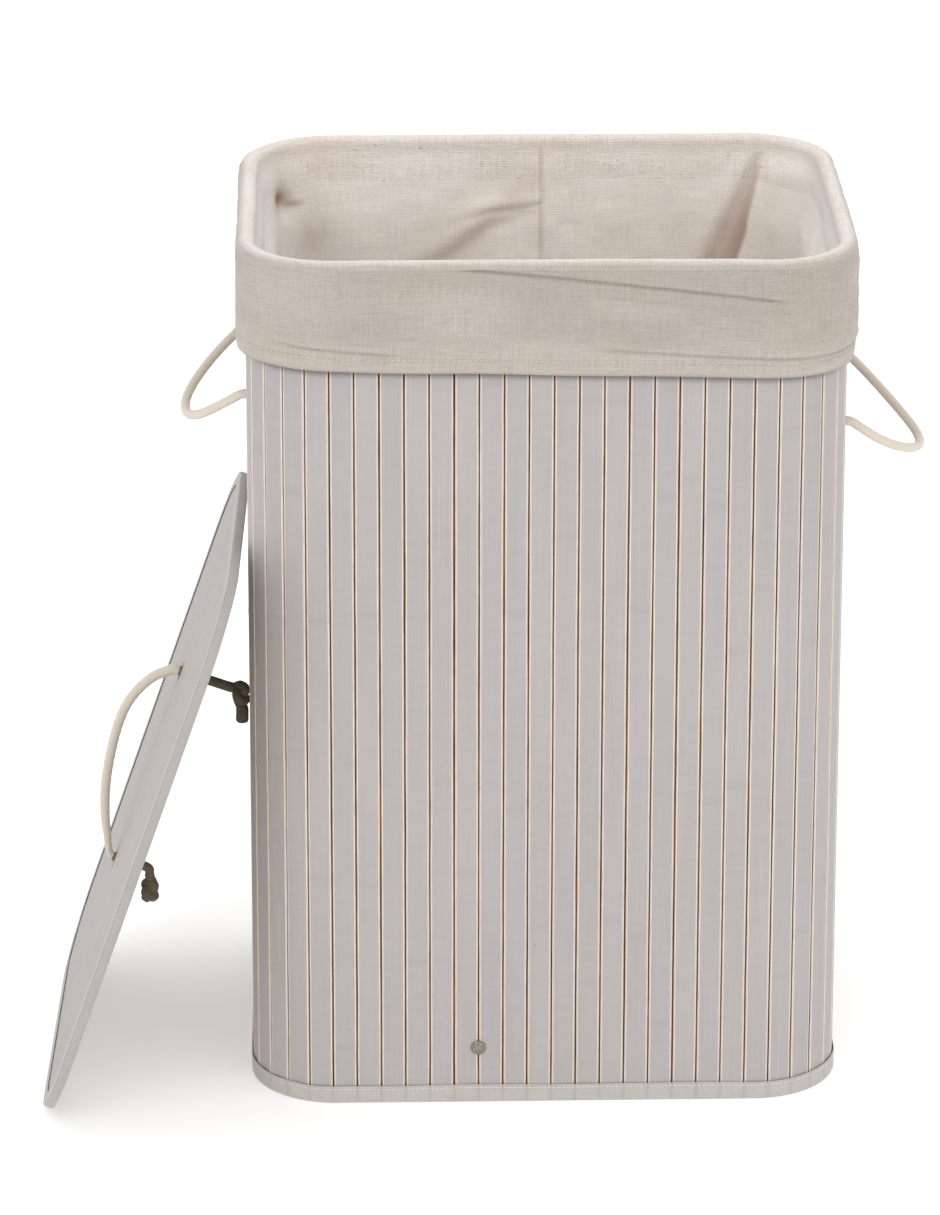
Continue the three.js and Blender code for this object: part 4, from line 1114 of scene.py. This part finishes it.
# down the outside to the hem
zt = 599.4
front = ly0 < -60
cuff_painted_shade = []
for i in range(1, n_cuff_out + 1):
    f = i / n_cuff_out
    edge = cuff_edge(lx0, ly0)
    if f > 0.985:
        f = 1.0
    zz = (zt - drop * (1 - f)) * (1 - f) + edge * f
    # dk gathers painted shade in the crease bottoms, in the sewn hem groove and along the cuff's lower edge, and also a
    # patchy darker tone over the cuff above the hem
    dk = 0 * lx0
    below = zt - zz
    base = np.interp(zz, [523, 530, 538, 550, 575, 592, 600], [4.4, 5.6, 6.5, 7.25, 6.9, 6.4, 5.2])
    u = ls / TOTAL
    d = 0.55 * table_noise(u * 16, zz / 14, 31, 16) + 0.30 * table_noise(u * 40, zz / 6.5, 32, 40) + 0.14 * table_noise(u * 118, zz / 5, 33, 118)
    d = d + 0.5 * table_noise(u * 10, zz / 40, 34, 10)
    # the long slanting crease on the front
    line = np.interp(lx0, [-90, -72, -33, 6, 61, 124, 148, 165], [602.5, 601.2, 597.7, 594.0, 587.4, 580.2, 576.8, 574])
    fade = step(lx0, -92, -50) * (1 - step(lx0, 138, 172)) * np.where(front, 1, 0)
    side = zz - line
    d = d + fade * (1.45 * bell(side, 4.6, 3.6) - 1.5 * bell(side, -0.6, 1.3) - 0.95 * bell(side, -7, 6))
    dk = np.maximum(dk, fade * (0.42 * bell(side, -1.0, 1.2) + 0.16 * bell(side, -7, 7)))
    # finer creases under it and on the left
    line = np.interp(lx0, [-20, 40, 110, 160], [585, 580, 573, 569])
    fade = step(lx0, -30, 20) * (1 - step(lx0, 120, 165)) * np.where(front, 1, 0)
    d = d + fade * (0.55 * bell(zz - line, 2.2, 2.2) - 0.6 * bell(zz - line, -0.6, 1.2))
    dk = np.maximum(dk, fade * 0.18 * bell(zz - line, -0.8, 1.4))
    # wrinkles just above the hem
    line = np.interp(lx0, [-175, -137, -109, -80], [548.3, 544.6, 542.2, 541])
    fade = step(lx0, -185, -160) * (1 - step(lx0, -112, -85)) * np.where(front, 1, 0)
    d = d + fade * (0.95 * bell(zz - line, 2.6, 2.4) - 0.9 * bell(zz - line, -0.5, 1.2))
    dk = np.maximum(dk, fade * 0.30 * bell(zz - line, -0.8, 1.2))
    line = np.interp(lx0, [30, 45, 110, 191], [545, 544, 539.4, 534.8])
    fade = step(lx0, 20, 55) * np.where(front, 1, 0)
    d = d + fade * (1.0 * bell(zz - line, 2.8, 2.4) - 0.95 * bell(zz - line, -0.5, 1.2))
    dk = np.maximum(dk, fade * 0.30 * bell(zz - line, -0.8, 1.2))
    # the folded hem: a groove where it is sewn and a fuller edge
    up = zz - edge
    pucker = table_noise(u * 110, 0.4, 35, 110)
    d = d - 0.42 * bell(up, 9.8, 0.9) + 0.35 * bell(up, 5.5, 3.5) + 0.28 * bell(up, 12.5, 2.2) * (1 + pucker)
    dk = np.maximum(dk, 0.20 * bell(up, 9.8, 1.0) * (0.6 + 0.4 * pucker))
    dk = np.maximum(dk, 0.35 * (1 - step(up, 0.0, 1.6)))
    dk = np.maximum(dk, 0.10 * (1 + table_noise(u * 22, zz / 16, 36, 22)) * step(up, 14, 26))
    cuff_painted_shade.append(np.clip(dk, 0, 1))
    x, y, nx, ny = around(ls, off=base + d - 0.15)
    P_rows.append(np.stack([x, y, zz], -1))
LP = np.array(P_rows)  # rows x columns x 3
n_rows = len(LP)

du = np.roll(LP, -1, axis=1) - np.roll(LP, 1, axis=1)
dw = np.gradient(LP, axis=0)
NV = -np.cross(du, dw)
NV /= np.maximum(np.linalg.norm(NV, axis=-1, keepdims=True), 1e-9)
seg = np.linalg.norm(np.diff(LP, axis=0), axis=-1).mean(1)
WL = np.concatenate([[0], np.cumsum(seg)])
thick = np.full(n_rows, 0.95)
for i in range(n_rows):
    up = (n_rows - 1 - i) / n_cuff_out * 73.0
    if i > n_bag + 18 and up < 9.6:
        thick[i] = 1.75
HID = LP - NV * thick[:, None, None]
HID[..., 2] = np.where(np.arange(n_rows)[:, None] < 26, np.maximum(HID[..., 2], 6.7), HID[..., 2])
UL = np.append(ls, TOTAL)[None, :]

# bag, with a small disc closing its middle on both sides
sh = Shape()
nb = n_bag
# the bag's inner face carries the folds' painted shade and the side walls' painted light
sh.slab(HID[:nb], LP[:nb], wrap=True, U=np.broadcast_to(UL, (nb, NS + 1)), W=np.broadcast_to(WL[:nb, None], (nb, NS + 1)), m=(1, 0, 0), attrs_b=dict(dusk=np.array([fold_painted_shade(lx0, ly0, LP[i][:, 2]) * (i > 28) for i in range(nb)]), pale=np.array([side_pale(lx0) * step(LP[i][:, 2], 300, 420) for i in range(nb)])), na=-NV[:nb], nb=NV[:nb])
# the ring at the centre is shut by two fans instead of its edge strip
F, uv, mi = sh.quads[2]
sh.quads.pop(2)
ring = np.stack([np.append(ls, TOTAL), np.zeros(NS + 1)], -1)
sh.lid_on(0, NS, HID[0].mean(0), ring, np.array([0.0, -5.0]), m=1, flip=True)
sh.nrm[-1] = np.array([[0, 0, -1.0]])
sh.lid_on(nb * NS, NS, LP[0].mean(0), ring, np.array([0.0, -5.0]), flip=False)
sh.nrm[-1] = np.array([[0, 0, 1.0]])
bag = sh.make("liner_cloth_bag", [M_BAG, M_BAGOUT], custom=True)
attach(bag, "liner")
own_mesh(bag)
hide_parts("liner_bag")

sh = Shape()
nc = n_rows - n_bag
split = n_bag - 1
CP, CH, CN = LP[split:], HID[split:], NV[split:]
R = len(CP)
outside = np.clip((np.arange(R) - 14) / 3.0, 0, 1)
inner = 1 - np.clip((np.arange(R) - 9) / 3.0, 0, 1)
# painted shade for the cuff: on the inner leg the folds' shade, a little more near the rim, fading over the roll;
# outside, the shade of the creases and hem
cuff_shade = inner[:, None] * np.array([np.maximum(fold_painted_shade(lx0, ly0, CP[i][:, 2]), 0.15 * step(CP[i][:, 2], 586, 600)) for i in range(R)])
cuff_shade[10:18] = np.linspace(0.15, 0.0, 8)[:, None]
cuff_shade[R - n_cuff_out :] = np.array(cuff_painted_shade)
cuff_pale = inner[:, None] * side_pale(lx0)[None, :]
sh.slab(CH, CP, wrap=True, U=np.broadcast_to(UL, (R, NS + 1)), W=np.broadcast_to(WL[split:, None], (R, NS + 1)), m=(0, 0, 0), attrs=dict(outside=np.broadcast_to(outside[:, None], CP.shape[:2])), attrs_b=dict(dusk=cuff_shade, pale=cuff_pale, outside=np.broadcast_to(outside[:, None], CP.shape[:2])), na=-CN, nb=CN)
# inner leg and roll take the lighter inside tone, which is painted light
q, uv, mi = sh.quads[1]
rows_of = np.repeat(np.arange(R - 1), NS)
sh.quads[1] = (q, uv, np.where(rows_of < 0, 1, 0))
cuff = sh.make("liner_cloth_cuff", [M_CUFF, M_BAG], custom=True)
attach(cuff, "liner")
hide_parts("liner_cuff")

# the cuff's hem stitching, on the sewn line
n = int(TOTAL / 3.6)
ss = (np.arange(n) + 0.5) / n * TOTAL
hrow = int(np.argmin(np.abs((n_rows - 1 - np.arange(n_rows)) / n_cuff_out * 73.0 - 9.8)))
def along(arr, row):
    return np.stack([np.interp(ss, np.append(ls, TOTAL), np.append(arr[row][:, i], arr[row][0, i])) for i in range(3)], -1)
pts, outs = along(LP, hrow), along(NV, hrow)
outs /= np.linalg.norm(outs, axis=1)[:, None]
nxt = along(np.roll(LP, -1, axis=1), hrow)
dirs = nxt - pts
dirs /= np.linalg.norm(dirs, axis=1)[:, None]
dirs = dirs - outs * np.sum(dirs * outs, axis=1)[:, None]
dirs /= np.linalg.norm(dirs, axis=1)[:, None]
cuff_thread = stitches("liner_cuff_stitching", pts + outs * 0.05, dirs, outs, 2.6, 0.2, M_THREAD, "liner")

bag_len = float(WL[n_bag - 1])
wall_h = 560.0

# ------------------------------------------------------------------ base board
def plate(name, w, d, r, cy, z0, z1, fillet, mat):
    """A flat board with rounded corners and softened edges."""
    n = 240
    s = np.arange(n) / n * TOTAL
    P = []
    lam = [0.06, 0.3, 0.6, 0.85]
    x, y, nx, ny = around(s, w, d, r, -fillet)
    for q in lam:
        P.append(np.stack([x * q, y * q + cy, np.full(n, z0)], -1))
    for a in np.linspace(-math.pi / 2, 0, 4):
        x, y, nx, ny = around(s, w, d, r, -fillet + fillet * math.cos(a))
        P.append(np.stack([x, y + cy, np.full(n, z0 + fillet + fillet * math.sin(a))], -1))
    for a in np.linspace(0, math.pi / 2, 4):
        x, y, nx, ny = around(s, w, d, r, -fillet + fillet * math.cos(a))
        P.append(np.stack([x, y + cy, np.full(n, z1 - fillet + fillet * math.sin(a))], -1))
    x, y, nx, ny = around(s, w, d, r, -fillet)
    for q in lam[::-1]:
        P.append(np.stack([x * q, y * q + cy, np.full(n, z1)], -1))
    P = np.array(P)
    sh = Shape()
    base = sh.grid(P, wrap=True, U=np.append(s, TOTAL)[None, :])
    ring = np.zeros((n + 1, 2))
    sh.lid_on(base, n, (0, cy, z0), ring, np.zeros(2), flip=True)
    sh.lid_on(base + (len(P) - 1) * n, n, (0, cy, z1), ring, np.zeros(2))
    return sh.make(name, [mat], angle=50)


ob = plate("floor_board", 387.0, 287.6, 52.0, 0.5, 0.0, 5.0, 0.8, M_BOARD)
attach(ob, "base")
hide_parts("base_board")

# ------------------------------------------------------------------ lid
LG = 16.45
lid_grooves = [HOLE_V + LG * i for i in range(-9, 12) if abs(HOLE_V + LG * i) < LID_W / 2 - 4]
N_TOP, N_SLAT = 6.0, 3.0


def lid_extent(v, inset=1.0):
    """The lid's length range at v, for an outline set in by inset."""
    r = LID_R - inset
    hw = LID_W / 2 - inset
    a = np.clip(np.abs(v) - (hw - r), 0, r)
    cutb = r - np.sqrt(np.clip(r * r - a * a, 0, None))
    return inset + cutb, LID_L - inset - cutb


sh = Shape()
vs = [-LID_W / 2 + 1.6] + lid_grooves + [LID_W / 2 - 1.6]
for k in range(len(vs) - 1):
    rng = np.random.default_rng(8800 + k)
    left_groove, right_groove = k > 0, k < len(vs) - 2
    half = [0.9 if abs(g - HOLE_V) < 0.01 else 0.42 for g in (vs[k], vs[k + 1])]
    v0, v1 = vs[k] + (half[0] if left_groove else 0), vs[k + 1] - (half[1] if right_groove else 0)
    w = v1 - v0
    lt = [(0.0, -2.0, 0.5, 1.0), (0.0, -0.8, 0.7, 0.8), (0.05, -0.5, 0.9, 0.2), (0.35, -0.2, 0.8, 0.0), (0.8, -0.05, 0.7, 0.0), (1.15, 0.0, 0.0, 0.0)]
    pr = np.array(lt + [(w * f, 0.06 * math.sin(math.pi * f), 0, 0) for f in (0.3, 0.5, 0.7)] + [(w - a, b, e, g) for a, b, e, g in lt[::-1]] + [(w * 0.66, -2.9, 0, 1), (w * 0.33, -2.9, 0, 1)])
    t = np.unique(np.round(np.concatenate([np.linspace(0, 1, 46)] + [((c - 1) + np.array([-11, -9, -8.4, -7.6, -6, -4, -2, 0, 2, 4, 6, 7.6, 8.4, 9, 11])) / (LID_L - 2) for c in HOLE_U]), 5))
    v = v0 + np.broadcast_to(pr[:, 0], (len(t), len(pr))).copy()
    f = (v - v0) / w
    ua = 1 + t * (LID_L - 2)
    e0 = 0.12 * table_noise(ua / 40, k + 0.5, 411)
    e1 = 0.12 * table_noise(ua / 40, k + 0.5, 412)
    for c in HOLE_U:
        nt = 3.5 * np.sqrt(np.clip(1 - ((ua - c) / 8.5) ** 2, 0, 1))
        if abs(vs[k] - HOLE_V) < 0.01:
            e0 = e0 + nt
        if abs(vs[k + 1] - HOLE_V) < 0.01:
            e1 = e1 - nt
    v = v + e0[:, None] * (1 - f) ** 2 + e1[:, None] * f**2
    ulo, uhi = lid_extent(v)
    u = ulo + t[:, None] * (uhi - ulo)
    nn = N_TOP - 0.12 + rng.uniform(-0.05, 0.03) + pr[:, 1][None, :] + 0 * u
    tint, tint2 = rng.uniform(-1, 1), rng.uniform(-1, 1)
    P = lid_point(u, v, nn)
    C = len(pr)
    U = np.broadcast_to(np.append(pr[:, 0], 0.0)[None, :] + k * 20 + 400, (len(t), C + 1))
    W = np.broadcast_to(ua[:, None], (len(t), C + 1))
    base = sh.grid(P, wrap=True, U=U, W=W, tint=tint, tint2=tint2, edge=np.broadcast_to(pr[:, 2], u.shape), deep=np.broadcast_to(pr[:, 3], u.shape), flip=False)
    ring = np.stack([U[0], W[0]], -1)
    sh.lid_on(base, C, P[0].mean(0), ring, ring[:-1].mean(0), flip=True, tint=tint)
    ring = np.stack([U[-1], W[-1]], -1)
    sh.lid_on(base + (len(t) - 1) * C, C, P[-1].mean(0), ring, ring[:-1].mean(0), tint=tint)
lid_slats = sh.make("lid_slat_run", [M_LIDSLAT], angle=48)
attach(lid_slats, "lid")
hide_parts("lid_slat_panel")


def lid_ring(n_cols, inset):
    """Points round the lid's outline in its own plane, with outward normals and arc length."""
    w, d, r = LID_L, LID_W, LID_R
    s = np.arange(n_cols) / n_cols * TOTAL
    x, y, nx, ny = around(s, w, d, r, -inset)
    L = np.concatenate([[0], np.cumsum(np.hypot(np.diff(np.append(x, x[0])), np.diff(np.append(y, y[0]))))])
    return x, y, nx, ny, L


x, y, nx, ny, L = lid_ring(900, 0.0)
near = np.min(np.abs(y[None, :] - np.array(lid_grooves)[:, None]), axis=0)
dentl = bell(near, 0, 1.1) * (np.abs(nx) > 0.3)
pr = [(-0.10, 0.8), (0.0, 1.6), (0.0, 5.2), (-0.1, 6.0), (-0.6, 6.6), (-1.6, 6.8), (-4.0, 6.72), (-7.7, 6.8), (-8.5, 6.42), (-9.3, 6.8), (-10.0, 6.6), (-9.9, 6.3), (-5.0, 6.28), (-0.9, 6.25), (-0.55, 5.9), (-0.5, 3.4), (-0.55, 0.9), (-0.9, 0.5), (-5.0, 0.5), (-9.9, 0.5), (-10.0, 0.2), (-9.4, 0.0), (-4.0, 0.02), (-1.2, 0.0), (-0.5, 0.2)]
o, nrow = np.array(pr).T
wv = 0.3 * table_noise(np.arange(900) / 900 * 40, 0.5, 77, 40)
off = o[:, None] + np.where(o < -9.0, 1.0, 0.0)[:, None] * wv[None, :]
P = lid_point(LID_L / 2 + x + nx * off, y + ny * off, nrow[:, None] - 0.10 * dentl[None, :] * (nrow > 6.2)[:, None] + 0 * off)
Lr = np.concatenate([[0], np.cumsum(np.hypot(np.diff(np.append(o, o[0])), np.diff(np.append(nrow, nrow[0]))))])
sh = Shape()
# knot marks the tape's dips into the slat gaps; line marks the stitch groove, the tape's edges and its back; the tape
# material darkens both as painted shade
sh.grid(P, wrap=True, wrap_rows=True, U=L[None, :], W=Lr[:, None], knot=(nrow > 6.2)[:, None] * dentl[None, :] * 0.6, line=np.where(nrow > 3, np.maximum(bell(o, -8.5, 0.5), np.maximum(bell(o, -10.2, 0.6), 0.5 * bell(o, -0.4, 0.4))), 0.3)[:, None] + 0 * dentl[None, :])
binding = sh.make("lid_edge_tape", [M_LIDTAPE], angle=50)
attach(binding, "lid")
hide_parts("lid_edge_binding")
n = int(L[-1] / 3.3)
want = (np.arange(n) + 0.5) / n * L[-1]
def lint(a):
    return np.interp(want, L, np.append(a, a[0]))
xi, yi, ai, bi = lint(x), lint(y), lint(nx), lint(ny)
for nm, nlev, sgn in (("lid_stitching_face", 6.44, 1), ("lid_stitching_back", 0.02, -1)):
    pts = lid_point(LID_L / 2 + xi - 8.5 * ai, yi - 8.5 * bi, np.full(n, nlev))
    dirs = -bi[:, None] * LU + ai[:, None] * LV
    outs = np.broadcast_to(LN * sgn, dirs.shape)
    ob = stitches(nm, pts, dirs, outs, 2.5, 0.3 if sgn > 0 else 0.13, M_THREAD, "lid")


def lid_plate(name, node, n0, n1, mat, wob=0.0):
    """A sheet inside the lid's outline; the cord holes are not cut in it."""
    cols = 260
    x, y, nx, ny, L = lid_ring(cols, 1.2)
    P = []
    lam = list(np.linspace(0.05, 0.97, 22))
    for q in lam:
        zz = n0 - wob * np.abs(table_noise(x * q / 30 + 20, y * q / 30 + 20, 55))
        P.append(lid_point(LID_L / 2 + x * q, y * q, zz))
    P.append(lid_point(LID_L / 2 + x, y, np.full(cols, n0)))
    P.append(lid_point(LID_L / 2 + x, y, np.full(cols, n1)))
    for q in lam[::-1]:
        P.append(lid_point(LID_L / 2 + x * q, y * q, np.full(cols, n1)))
    P = np.array(P)
    rad = np.concatenate([np.array(lam), [1, 1], np.array(lam[::-1])])
    X = np.append(x, x[0])[None, :] * rad[:, None]
    Y = np.append(y, y[0])[None, :] * rad[:, None]
    sh = Shape()
    base = sh.grid(P, wrap=True, U=X + 500, W=Y + 500)
    ring = np.stack([X[0] + 500, Y[0] + 500], -1)
    sh.lid_on(base, cols, lid_point(LID_L / 2, 0.0, n0), ring, np.array([500.0, 500.0]), flip=True)
    sh.lid_on(base + (len(P) - 1) * cols, cols, lid_point(LID_L / 2, 0.0, n1), ring, np.array([500.0, 500.0]))
    ob = sh.make(name, [mat], angle=60)
    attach(ob, "lid")
    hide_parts(node)
    return ob


lid_plate("lid_back_cloth", "lid_lining", 0.62, 1.15, M_LINING, 0.35)
lid_plate("lid_stiffener", "lid_core_board", 1.5, 2.7, M_BOARD)

# ------------------------------------------------------------------ carried-over CAD nodes
for node, mat in (("rim_hoop_wire", M_STEEL), ("base_hinge_tape", M_TAPE), ("front_rivet_washer", M_RIVET)):
    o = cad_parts[node]
    o.data.materials.clear()
    o.data.materials.append(mat)

# ------------------------------------------------------------------ floor, light
floor_mat = Mat("studio_floor", rough=0.85, spec=0.15)
fn = floor_mat.noise(floor_mat.place(3, 3, 3), 1.0, 2.0)
floor_mat.set("Base Color", floor_mat.mix(floor_mat.span(fn, 0.3, 0.7), (0.985, 0.985, 0.985, 1), (1.0, 1.0, 1.0, 1)))
floor_mat.b.inputs["Emission Color"].default_value = (1, 1, 1, 1)
floor_mat.b.inputs["Emission Strength"].default_value = 0.22
sh = Shape()
gx = np.linspace(-9000, 9000, 13)
X, Y = np.meshgrid(gx, gx)
sh.grid(np.stack([X, Y, np.full_like(X, -0.3)], -1))
floor = sh.make("studio_floor", [floor_mat.m])

world = bpy.data.worlds.new("studio")
SCENE.world = world
world.use_nodes = True
bg = world.node_tree.nodes["Background"]
bg.inputs[0].default_value = (1.0, 1.0, 1.0, 1.0)
bg.inputs[1].default_value = 0.86


def area(name, loc, target, size, energy, colour=(1, 1, 1)):
    d = bpy.data.lights.new(name, "AREA")
    d.shape = "RECTANGLE"
    d.size, d.size_y = size
    d.energy = energy
    d.color = colour
    o = bpy.data.objects.new(name, d)
    SCENE.collection.objects.link(o)
    o.location = loc
    o.rotation_euler = (Vector(target) - Vector(loc)).to_track_quat("-Z", "Y").to_euler()
    return o


area("key", (-1.3, -2.6, 2.7), (0, 0, 0.35), (2.4, 2.4), 20)
area("fill", (2.0, -2.2, 1.3), (0, 0, 0.3), (2.0, 2.0), 7)
area("top", (0.1, 0.2, 3.0), (0, 0, 0.5), (3.0, 3.0), 12)
